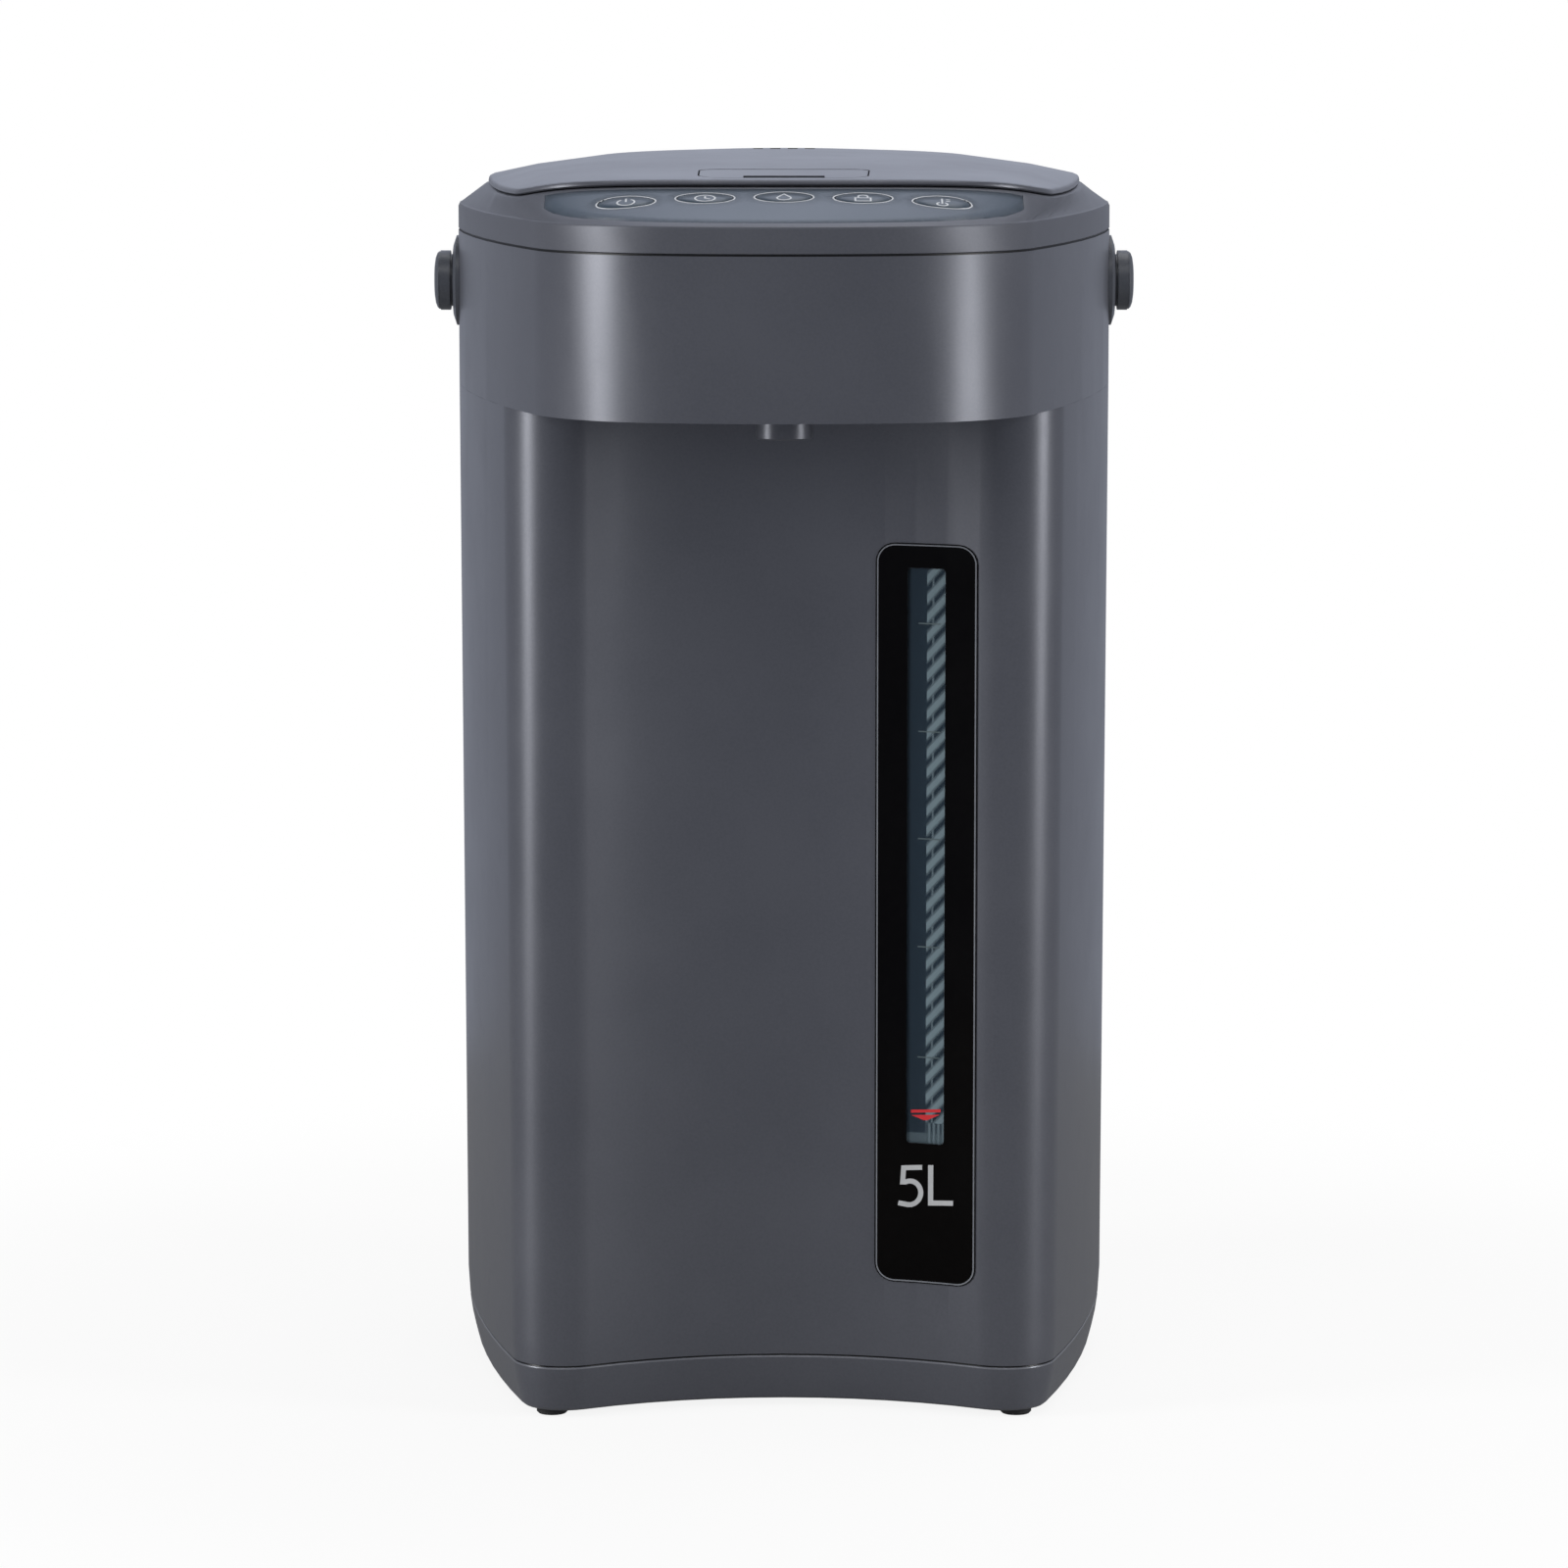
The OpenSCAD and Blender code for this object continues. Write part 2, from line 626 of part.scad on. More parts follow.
module gauge_lens() {
    color(clear_blue, 0.5) placed() intersection() {
        face_band(proud, wall);
        front_window(gauge_x, slot_z, slot_w, slot_h, 1.2);
    }
}

module scale_strip() {
    y = tube_y + tube_r;
    color("#20303a") placed() translate([gauge_x - slot_w / 2 - 2, y, slot_z - 4])
        cube([slot_w + 4, 1, slot_h + 8]);
}

// ---- spout ---------------------------------------------------------------------------------

valve_z0 = head_z + 6.7;
valve_z1 = valve_z0 + 28;
valve_r = 11;
hose_r = 6;
hose_bend = 14;
hose_z = valve_z1 - 12;
spout_way = [-gauge_x, -nozzle_reach - tube_y];

module head_hose() {
    run = norm(spout_way) - hose_bend - valve_r - 0.1;
    rise = hose_z - hose_bend - (tube_z1 - 8);
    color("#dfe3e2") placed() translate([gauge_x, tube_y, tube_z1 - 8]) rotate(ang(spout_way)) union() {
        difference() {
            cylinder(r = tube_r + 1.6, h = 12);
            translate([0, 0, -1]) cylinder(r = tube_r, h = 9);
            cylinder(r = tube_bore, h = 20);
        }
        tube(hose_r, 4, 12 - skin, rise);
        translate([hose_bend, 0, rise]) rotate([90, 0, 180])
            rotate_extrude(angle = 90) translate([hose_bend, 0]) hose_ring();
        translate([hose_bend, 0, rise + hose_bend]) rotate([0, 90, 0]) tube(hose_r, 4, 0, run);
    }
}

module hose_ring() {
    difference() { circle(r = hose_r); circle(r = 4); }
}

module at_nozzle() { placed() translate([0, -nozzle_reach, 0]) children(); }

ball_r = 3.6;
ball_seat_z = valve_z0 + 8;

module valve_body() {
    color("#e4e3dc") at_nozzle() difference() {
        union() {
            translate([0, 0, valve_z0]) cylinder(r = valve_r, h = valve_z1 - valve_z0);
            translate([0, 0, valve_z0]) cylinder(r = valve_r + 4, h = 2.4);
            for (s = [-1, 1]) translate([s * (valve_r + 2), 0, head_z + wall])
                cylinder(r = 3, h = valve_z0 - head_z - wall + 2.4);
        }
        translate([0, 0, ball_seat_z]) cylinder(r = ball_r + 1, h = hose_z + ball_r + 0.6 - ball_seat_z);
        for (a = [30:120:270]) rotate(a) translate([0, -0.8, ball_seat_z - 1.6]) cube([ball_r + 1, 1.6, 3]);
        translate([0, 0, valve_z0 - 1]) cylinder(r = spout_bore, h = 20);
        rotate(ang(-spout_way)) translate([0, 0, hose_z]) rotate([0, 90, 0]) cylinder(r = 3.6, h = 20);
    }
}

module valve_ball() {
    color(steel) at_nozzle() translate([0, 0, ball_seat_z + ball_r + 0.1]) sphere(r = ball_r);
}

module spout_pipe() {
    color("#d7d9d6") at_nozzle() tube(spout_bore + 1.5, spout_bore, head_z - nozzle_h + 1.4, valve_z0);
}

module nozzle() {
    lip_z = head_z - nozzle_h;
    color(slate) at_nozzle() rotate_extrude() polygon([[spout_bore + 1.5, lip_z + 0.8],
        [nozzle_r - 1.6, lip_z], [nozzle_r - 0.5, lip_z], [nozzle_r, lip_z + 0.5], [nozzle_r, head_z],
        [nozzle_r - wall, head_z], [nozzle_r - wall, head_z + wall + 1.2],
        [spout_bore + 1.5, head_z + wall + 1.2]]);
}

// ---- electrics -----------------------------------------------------------------------------

module power_board() {
    floor_z = foot_h + 2.4;
    color("#2e6b45") placed() translate([-64, -88, floor_z]) union() {
        for (x = [4, 52], y = [4, 46]) translate([x, y, 0]) cylinder(r = 3, h = 6);
        translate([0, 0, 6]) cube([56, 50, 1.6]);
        for (b = [[8, 8, 16, 16, 17], [30, 10, 18, 12, 14], [12, 32, 12, 10, 11], [34, 30, 14, 12, 15]])
            translate([b[0], b[1], 7.6 - skin]) cube([b[2], b[3], b[4]]);
    }
}

key_names = 5;
function key_y(i) = -key_reach - key_bow * pow(i / 2, 2);
board_drop = 12;
board_w = 4 * key_pitch + 25.6;
board_post = [board_w / 2 - 4, 4];
switch_h = 3.2;
deck_ref = [0, -key_reach, deck_edge_z + (head_reach - key_reach) * tan(deck_tilt)];

// Puts its children on the deck's slope, with z = 0 at the deck's surface by the middle key.
module on_deck() { placed() translate(deck_ref) rotate([deck_tilt, 0, 0]) children(); }

module control_board() {
    color("#2e6b45") on_deck() difference() {
        union() {
            translate([-board_w / 2, -13, -board_drop - 1.6]) cube([board_w, 21, 1.6]);
            translate([-30, -10, -board_drop - 8]) cube([24, 12, 6.5]);
            translate([14, -9, -board_drop - 5]) cube([12, 12, 3.5]);
        }
        for (s = [-1, 1]) translate([s * board_post[0], board_post[1], -board_drop - 3])
            cylinder(r = 1.6, h = 5);
    }
}

module key_switches() {
    color("#1d1d1f") on_deck() for (i = [-2:2])
        translate([i * key_pitch, key_y(i) + key_reach, -board_drop]) {
            translate([-3, -3, 0]) cube([6, 6, 2.2]);
            translate([0, 0, 2.2]) cylinder(r = 1.7, h = switch_h - 2.2);
        }
}

module inlet_housing() {
    depth = 18;
    w = inlet_w - 0.2;
    h = inlet_h - 0.2;
    color("#1c1d1f") placed() translate([0, back_r + 0.6, inlet_z]) rotate([90, 0, 0]) difference() {
        union() {
            translate([-w / 2, -h / 2, 0]) cube([w, h, depth + 2]);
            translate([-w / 2 - 3, -h / 2 - 3, wall + 4]) cube([w + 6, h + 6, 2]);
        }
        translate([0, 0, -1]) linear_extrude(depth + 1) polygon([[-12, -9], [12, -9], [12, 4], [7, 9],
            [-7, 9], [-12, 4]]);
        for (p = pin_pts) translate([p[0], p[1], depth - 1])
            linear_extrude(4) square([2.2, 4.2], center = true);
    }
}

pin_pts = [[-7, -2], [0, 2], [7, -2]];

module inlet_pins() {
    color(steel) placed() translate([0, back_r + 0.6 - 4, inlet_z]) rotate([90, 0, 0])
        for (p = pin_pts) translate([p[0], p[1], 0]) linear_extrude(26) square([2, 4], center = true);
}

// ---- crown of the lid and slope of the deck ------------------------------------------------

// Height of the lid's crown over a point of the plan.
function crown(p) = p[1] >= 0 ? lid_top_z - side_drop * pow(norm([p[0], p[1]]) / lid_r, 3)
    : let(u = -p[1] / lid_reach)
        lid_top_z - (side_drop + lobe_drop * u * u) * pow(abs(p[0]) / lid_r, 3 + 4 * u)
            - front_drop * u * u;

function over(pts, drop) = [for (p = pts) [p[0], p[1], crown(p) - drop]];
lid_mid = [0, -22];
function shrunk(pts, s) = [for (p = pts) lid_mid + s * (p - lid_mid)];
crest = [lid_mid[0], lid_mid[1], crown(lid_mid)];

// The deck and the ring's shoulder: ruled from the body's outline up to the lid's edge.
module deck_solid(z0) {
    loft([flat(head_plan(seam_gap), z0), flat(head_plan(seam_gap), z0 + seam_gap),
        flat(head_plan(0), z0 + seam_gap + 0.3), flat(head_plan(0), deck_edge_z - 1.1),
        flat(head_plan(0.35), deck_edge_z - 0.35), flat(head_plan(1.1), deck_edge_z),
        over(lid_plan(-0.8), lid_edge + lid_gap), over(lid_plan(6), lid_edge + lid_gap)],
        [0, lid_mid[1], z0], crest - [0, 0, lid_edge + lid_gap]);
}

recess_z = deck_edge_z - 1.6;
recess_in = 3;
well_r = neck_r + 0.5;
well_z = pot_rim_z + 2;
hinge_y = lid_r + 2;
hinge_z = recess_z - 0.8;
hinge_r = 4.3;
latch_z = recess_z + 2.8;
keeper_z = latch_z + 2.2;
hinge_half = 24;
pin_r = 2;

// The part of the deck solid between the outline points "from" and "to", counted from the middle of
// the front: an upright slice with the same top faces, from z0 up.
patch_half = 13;

module deck_patch(z0) {
    outer = head_plan(1.1);
    inner = over(lid_plan(-0.8), lid_edge + lid_gap);
    n = len(outer);
    at = [for (i = [-patch_half:patch_half]) (i + n) % n];
    last = 4 * len(at) - 4;
    polyhedron(points = [for (i = at) each [[outer[i][0], outer[i][1], z0],
        [outer[i][0], outer[i][1], deck_edge_z], inner[i], [inner[i][0], inner[i][1], z0]]],
        convexity = 6, faces = concat([[0, 3, 2], [0, 2, 1], [last, last + 1, last + 2],
        [last, last + 2, last + 3]], [for (k = [0:4:last - 4]) each [[k, k + 5, k + 4], [k, k + 1, k + 5],
        [k + 1, k + 6, k + 5], [k + 1, k + 2, k + 6], [k + 2, k + 7, k + 6], [k + 2, k + 3, k + 7],
        [k + 3, k + 4, k + 7], [k + 3, k, k + 4]]]));
}

module ring_cavity() {
    difference() {
        loft([flat(head_plan(wall), ring_seam_z - 1), flat(head_plan(wall), deck_edge_z - wall - 0.4),
            over(lid_plan(wall), lid_edge + lid_gap + deck_wall)],
            [0, lid_mid[1], ring_seam_z - 1], crest - [0, 0, lid_edge + lid_gap + deck_wall]);
        prism(lid_plan(recess_in - wall), recess_z - 2, lid_top_z);
        cylinder(r = well_r + wall, h = lid_top_z);
        block([-hinge_half - 4, hinge_y - 8, ring_seam_z], [hinge_half + 4, back_r, lid_top_z]);
    }
}

module key_shape(grow, z0, z1) {
    translate([0, 0, z0]) linear_extrude(z1 - z0)
        polygon([for (a = [0:12:348]) [(key_w / 2 + grow) * cos(a), (key_h / 2 + grow) * sin(a)]]);
}

module panel_region(grow) {
    intersection() {
        difference() {
            prism(head_plan(4.2 - grow), deck_edge_z - 5, lid_top_z);
            prism(lid_plan(-2.6 + grow), deck_edge_z - 6, lid_top_z + 1);
        }
        block([-panel_x - grow, -head_reach, deck_edge_z - 5],
            [panel_x + grow, lid_corner[1] - 12 + grow, lid_top_z]);
    }
}

module panel_sheet() {
    intersection() {
        difference() { deck_patch(ring_seam_z + 4); translate([0, 0, -panel_t]) deck_patch(ring_seam_z + 2); }
        panel_region(0);
    }
}

module key_holes(grow) {
    translate(deck_ref) rotate([deck_tilt, 0, 0]) for (i = [-2:2])
        translate([i * key_pitch, key_y(i) + key_reach, 0]) key_shape(grow, -8, 4);
}

module top_ring() {
    color(slate) placed() difference() {
        union() {
            difference() {
                deck_solid(ring_seam_z);
                ring_cavity();
            }
            difference() {
                union() {
                    prism(head_plan(wall + 0.2), ring_seam_z - 4, ring_seam_z + 1.6);
                    prism(head_plan(wall - 1), ring_seam_z, ring_seam_z + 1.6);
                }
                prism(head_plan(wall + 2), ring_seam_z - 5, ring_seam_z + 2);
            }
            translate(deck_ref) rotate([deck_tilt, 0, 0]) for (s = [-1, 1])
                translate([s * board_post[0], board_post[1], -board_drop])
                    cylinder(r = 3, h = board_drop - 1.4);
            difference() {
                tube(well_r + wall, well_r, well_z, recess_z - 1);
                block([-hinge_half, hinge_y - 6, hinge_z - hinge_r - 0.4], [hinge_half, back_r, recess_z]);
            }
        }
        prism(lid_plan(recess_in), recess_z, lid_top_z + 1);
        translate([0, 0, ring_seam_z - 1]) cylinder(r = well_r, h = 30);
        block([-hinge_half, hinge_y - 5, hinge_z - hinge_r - 0.4], [hinge_half, back_r + 2, lid_top_z]);
        block([-hinge_half, hinge_y - 12, recess_z], [hinge_half, hinge_y, lid_top_z]);
        rod_x(pin_r, -hinge_half - 3, hinge_half + 3, hinge_y, hinge_z);
        block([-11, -lid_reach - 0.5, latch_z - 2.2], [11, -lid_reach + recess_in + 1, keeper_z + 0.6]);
        difference() {
            panel_region(0.1);
            translate([0, 0, -panel_t]) deck_patch(ring_seam_z + 2);
        }
        key_holes(move_gap);
    }
}

module control_panel() {
    color("#4d5864") placed() difference() {
        panel_sheet();
        key_holes(move_gap);
    }
}

key_flange = 1.2;

// One soft key, numbered from the middle: an oval cap, a wider flange under the deck and a stem.
module key(i) {
    flange_z = -deck_wall - 1.4 - 0.6 * pow(i, 2);
    color("#56606c") placed() union() {
        intersection() {
            deck_patch(ring_seam_z + 6);
            translate(deck_ref) rotate([deck_tilt, 0, 0])
                translate([i * key_pitch, key_y(i) + key_reach, 0]) key_shape(0, flange_z - 0.4, 4);
        }
        translate(deck_ref) rotate([deck_tilt, 0, 0]) translate([i * key_pitch, key_y(i) + key_reach, 0]) {
            key_shape(1.4, flange_z - key_flange, flange_z);
            translate([0, 0, -board_drop + switch_h + key_travel + 0.05])
                cylinder(r = 1.6, h = board_drop - switch_h - key_travel - 0.05 + flange_z - key_flange / 2);
        }
    }
}

module key_far_left() { key(-2); }
module key_left() { key(-1); }
module key_middle() { key(0); }
module key_right() { key(1); }
module key_far_right() { key(2); }

// ---- lid -----------------------------------------------------------------------------------

module lid_solid() {
    edge = lid_plan(0);
    loft([over(lid_plan(2.4), lid_edge), over(lid_plan(0.5), lid_edge),
        over(lid_plan(0), lid_edge - 0.5), over(lid_plan(0), 0.8),
        over(lid_plan(0.3), 0.25), over(lid_plan(1.1), 0), over(shrunk(edge, 0.86), 0),
        over(shrunk(edge, 0.64), 0), over(shrunk(edge, 0.34), 0)],
        crest - [0, 0, 8], crest);
}

module lid_hollow() {
    edge = lid_plan(2);
    loft([flat(edge, recess_z - 4), over(edge, lid_edge + 0.8), over(shrunk(edge, 0.97), lid_top_wall),
        over(shrunk(edge, 0.64), lid_top_wall), over(shrunk(edge, 0.34), lid_top_wall)],
        [0, lid_mid[1], recess_z - 4], crest - [0, 0, lid_top_wall]);
}

lever_mid = -lever_front + lever_d / 2;
lever_pivot = [-lever_front + lever_d - 2, lid_top_z - 7.4];
lever_axle = 1.2;
lever_skin = 2.4;
// Where the lever's cross pin stands from the pivot, and its way through the latch's slots
cam = [-10, -4.4];
cam_r = 1;
lever_turn = 16;
latch_travel = 3;
cam_way = [cam[0] * cos(lever_turn) + cam[1] * sin(lever_turn) - latch_travel,
    cam[1] * cos(lever_turn) - cam[0] * sin(lever_turn)] - cam;
cam_slope = atan2(cam_way[1], -cam_way[0]);
cam_run = norm(cam_way);

// Plan of the lever: a bow-sided tongue with round front corners.
module lever_plan(grow) {
    w = lever_w / 2;
    translate([0, -lever_front]) polygon(concat(
        arc([w - 8, 8], 8 + grow, -90, -8, 6), arc([w - 5, lever_d - 5], 5 + grow, -8, 90, 5),
        arc([5 - w, lever_d - 5], 5 + grow, 90, 188, 5), arc([8 - w, 8], 8 + grow, 188, 270, 6),
        [[8 - w, -grow]]));
}

module lever_prism(grow, z0, z1) { translate([0, 0, z0]) linear_extrude(z1 - z0) lever_plan(grow); }

module vents(z0, z1) {
    for (i = [0:vent_count - 1]) translate([(i - (vent_count - 1) / 2) * vent_pitch - vent_w / 2, 8, z0])
        cube([vent_w, 15, z1 - z0]);
}

module lid_cover() {
    color(slate) placed() difference() {
        lid_solid();
        difference() {
            lid_hollow();
            for (p = lid_posts) translate([p[0], p[1], flange_z + flange_t]) cylinder(r = 3, h = 20);
        }
        for (p = lid_posts) translate([p[0], p[1], flange_z]) cylinder(r = 1.4, h = 9);
        for (y = [0, 1.1]) translate([0, y, 0]) lever_prism(0.5, recess_z, lid_top_z + 1);
        vents(recess_z, lid_top_z + 1);
    }
}

module lid_lever() {
    skin_z = crown([0, lever_pivot[0]]) - lever_skin;
    color("#666970") placed() difference() {
        union() {
            intersection() {
                difference() {
                    lid_solid();
                    translate([0, 0, -lever_skin]) lid_solid();
                }
                lever_prism(0, recess_z, lid_top_z);
            }
            for (s = [-1, 1]) translate([s * 16, 0, 0]) {
                rod_x(lever_axle + 1.6, -3, 3, lever_pivot[0], lever_pivot[1]);
                block([-3, lever_pivot[0] - 2.4, lever_pivot[1]], [3, lever_pivot[0] + 1.6, skin_z + 0.8]);
            }
            block([-4, lever_pivot[0] + cam[0] - 1.4, lever_pivot[1] + cam[1] - 1.4],
                [4, lever_pivot[0] + cam[0] + 1.4, skin_z + 0.4]);
            rod_x(cam_r, -8, 8, lever_pivot[0] + cam[0], lever_pivot[1] + cam[1]);
        }
        translate([-notch_w / 2, -lever_front - 1, recess_z]) cube([notch_w, notch_d + 1, 30]);
        rod_x(lever_axle + run_fit, -25, 25, lever_pivot[0], lever_pivot[1]);
    }
}

module lever_pin() {
    color(steel) placed() rod_x(lever_axle, -24.4, 24.4, lever_pivot[0], lever_pivot[1]);
}

flange_z = recess_z + 0.4;
flange_t = 2.2;
plug_r = well_r - 2.5;
plug_low_r = well_r - 5.5;
plug_z = pot_rim_z + 4;

module lid_base() {
    floor_z = flange_z + flange_t;
    color("#8d8f93") placed() difference() {
        union() {
            difference() {
                union() {
                    difference() {
                        prism(lid_plan(recess_in + 0.8), flange_z, floor_z);
                        intersection() {
                            tube(lid_r, plug_r - 1, flange_z - 1, floor_z + 1);
                            block([-lid_r, 0, flange_z - 1], [lid_r, lid_r, floor_z + 1]);
                        }
                    }
                    translate([0, 0, plug_z])
                        cylinder(r1 = plug_low_r, r2 = plug_r, h = flange_z - plug_z + 1);
                }
                translate([0, 0, plug_z + wall])
                    cylinder(r1 = plug_low_r - wall, r2 = plug_r - wall, h = flange_z - plug_z + flange_t);
            }
            for (s = [-1, 1]) {
                rod_x(hinge_r, s * 15 - 7, s * 15 + 7, hinge_y, hinge_z);
                block([s * 15 - 7, hinge_y - 12, flange_z], [s * 15 + 7, hinge_y, hinge_z + hinge_r - 0.4]);
                block([s * 22.5 - 2, lever_pivot[0] - 3, floor_z - 1],
                    [s * 22.5 + 2, lever_pivot[0] + 3, lever_pivot[1] + 1.6]);
            }
            for (s = [-1, 1]) block([s * 17 - 1, -lid_reach + recess_in + 4, floor_z - 1],
                [s * 17 + 1, -lever_front + 12, floor_z + 3]);
        }
        rod_x(pin_r + run_fit, -31, 31, hinge_y, hinge_z);
        rod_x(lever_axle, -30, 30, lever_pivot[0], lever_pivot[1]);
        for (p = lid_posts) translate([p[0], p[1], flange_z - 1]) {
            cylinder(r = 1.6, h = 12);
            cylinder(r = 2.3, h = 2.2);
        }
        translate([0, 12, plug_z - 1]) cylinder(r = 9, h = 6);
        block([-12, -lid_reach - 1, flange_z - 1], [12, -lid_reach + recess_in + 10, floor_z + 1]);
    }
}

lid_posts = [for (p = [[lid_corner_x + 21, 42 - lid_reach], [lid_r - 6.8, -8]], s = [1, -1])
    [s * p[0], p[1]]];

module lid_inner_plate() {
    color(steel) placed() difference() {
        translate([0, 0, plug_z - 1.5]) cylinder(r = plug_low_r - 1, h = 1.5);
        for (a = [0:45:315]) rotate(a) translate([6, 0, plug_z - 3])
            cylinder(r = 1.2, h = 5);
    }
}

module lid_seal() {
    color("#d9d9d4") placed() rotate_extrude() polygon([[plug_low_r - 1, plug_z],
        [plug_low_r - 1, plug_z - 3], [plug_low_r + 1.2, plug_z - 4.2], [plug_low_r + 2, plug_z - 3.2],
        [plug_low_r - 0.4, plug_z]]);
}

module steam_trap() {
    color("#c8cacb") placed() translate([0, 12, 0]) difference() {
        union() {
            translate([0, 0, plug_z + wall]) cylinder(r = 15, h = 1.6);
            tube(15, 13.4, plug_z + wall, lid_top_z - lid_top_wall - 0.4);
        }
        translate([0, 0, plug_z]) cylinder(r = 4, h = 8);
    }
}

module lid_screws() {
    color(steel) placed() for (p = lid_posts) translate([p[0], p[1], flange_z]) {
        cylinder(r = 2.2, h = 1.2);
        translate([0, 0, 1.2]) cylinder(r = 1.4, h = 7);
    }
}

module latch_keeper() {
    color(steel) placed()
        block([-11, -lid_reach + 0.8, keeper_z], [11, -lid_reach + recess_in - 0.2, keeper_z + 0.6]);
}

// The latch: a nose under the keeper, a cross guide and two cheeks with the cam slots.
module lid_latch() {
    front = -lid_reach + recess_in - 1.4;
    cam_at = [lever_pivot[0] + cam[0], lever_pivot[1] + cam[1]];
    color("#3c3e42") placed() difference() {
        union() {
            block([-10, front, latch_z - 1.6], [10, front + 2.6, latch_z + 1.8]);
            block([-10, front, latch_z], [10, cam_at[0] + 5, latch_z + 1.6]);
            block([-15.6, front + 8, latch_z], [15.6, front + 15, latch_z + 1.6]);
            for (s = [-1, 1]) block([s * 6 - 1, cam_at[0] - 7.4, latch_z],
                [s * 6 + 1, cam_at[0] + 3, latch_z + 8.4]);
        }
        translate([0, cam_at[0], cam_at[1]]) rotate([-cam_slope, 0, 0]) {
            block([-9, -cam_run, -cam_r - move_gap], [9, 0, cam_r + move_gap]);
            for (y = [-cam_run, 0]) rod_x(cam_r + move_gap, -9, 9, y, 0);
        }
    }
}

module hinge_pin() {
    color(steel) placed() rod_x(pin_r, -hinge_half - 2.6, hinge_half + 2.6, hinge_y, hinge_z);
}

// ---- carry handle --------------------------------------------------------------------------

arm_x = back_r + 2.6;
bow_y = handle_reach - grip_t - arm_x;

module both_sides() { children(); mirror([1, 0, 0]) children(); }

module handle_escutcheons() {
    color(slate_dark) placed() both_sides() difference() {
        translate([back_r - 3, 0, pivot_z]) rotate([0, 90, 0]) union() {
            cylinder(r = 14.5, h = 3.6);
            translate([0, 0, 3.6]) cylinder(r1 = 14.5, r2 = 11.5, h = 1);
        }
        rod_x(pivot_r, back_r - 8, back_r + 8, 0, pivot_z);
        prism(head_plan(0), head_z + 2, ring_seam_z);
    }
}

module handle_pivots() {
    color(steel) placed() both_sides() union() {
        rod_x(pivot_r, inner_back - 2, arm_x + arm_t + 0.6, 0, pivot_z);
        rod_x(pivot_r + 3, inner_back - 4, inner_back - 2, 0, pivot_z);
    }
}

grip_span = 34;
grip_h = 15;

// Section of the grip, rounded on its outer side.
function grip_section() = let(r = 4.4, h = grip_h / 2, t = grip_t + 0.5)
    concat([[0, h - 1], [0, 1 - h], [1, -h]], arc([t - r, r - h], r, -90, 0, 6),
        arc([t - r, h - r], r, 0, 90, 6), [[t - r, h], [1, h]]);

// Plan of the bow: straight beside the pivots, then a half circle behind the body.
function bow_line(r) = concat([[r, 0]], arc([0, bow_y], r, 0, 180, 60), [[-r, bow_y], [-r, 0]]);

module carry_handle() {
    inner = bow_line(arm_x);
    color(slate_dark) placed() difference() {
        union() {
            translate([0, 0, pivot_z - arm_h / 2]) linear_extrude(arm_h)
                polygon(concat(bow_line(arm_x + arm_t), [for (i = [len(inner) - 1:-1:0]) inner[i]]));
            translate([0, bow_y, pivot_z]) rotate([0, 0, 90 - grip_span])
                rotate_extrude(angle = 2 * grip_span) translate([arm_x - 0.5, 0]) polygon(grip_section());
            both_sides() rod_x(eye_r, arm_x, arm_x + arm_t, 0, pivot_z);
            both_sides() rod_x(eye_r - 1.2, arm_x - 0.6, arm_x + 1, 0, pivot_z);
        }
        both_sides() rod_x(pivot_r + run_fit, arm_x - 1, arm_x + arm_t + 1, 0, pivot_z);
    }
}

module pivot_caps() {
    cap_x = arm_x + arm_t;
    color(slate_dark) placed() both_sides() translate([cap_x, 0, pivot_z]) rotate([0, 90, 0]) difference() {
        rotate_extrude() polygon([[0, 0], [eye_r - 0.3, 0], [eye_r - 0.3, 0.5], [eye_r - 0.9, 1.1],
            [eye_r - 2.2, 1.6], [eye_r - 4.2, 1.9], [0, 2]]);
        translate([0, 0, -1]) cylinder(r = pivot_r + 0.3, h = 1.9);
    }
}

outer_shell();
base_cover();
rubber_feet();
base_screws();
inner_pot();
pot_seal();
tie_rods();
insulation_wrap();
heater_plate();
heat_shield();
thermostat();
thermal_fuse();
pump_inlet_sleeve();
pump_casing();
pump_impeller();
pump_motor();
motor_rotor();
motor_bracket();
pump_outlet_elbow();
sight_tube();
tube_seals();
gauge_window();
gauge_lens();
scale_strip();
head_hose();
valve_body();
valve_ball();
spout_pipe();
nozzle();
power_board();
control_board();
key_switches();
inlet_housing();
inlet_pins();
top_ring();
control_panel();
key_far_left();
key_left();
key_middle();
key_right();
key_far_right();
latch_keeper();
hinge_pin();
lid_cover();
lid_base();
lid_inner_plate();
lid_seal();
steam_trap();
lid_screws();
lid_lever();
lever_pin();
lid_latch();
handle_escutcheons();
handle_pivots();
carry_handle();
pivot_caps();
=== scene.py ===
import math

import bmesh
import bpy
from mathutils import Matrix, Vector
from mathutils.bvhtree import BVHTree


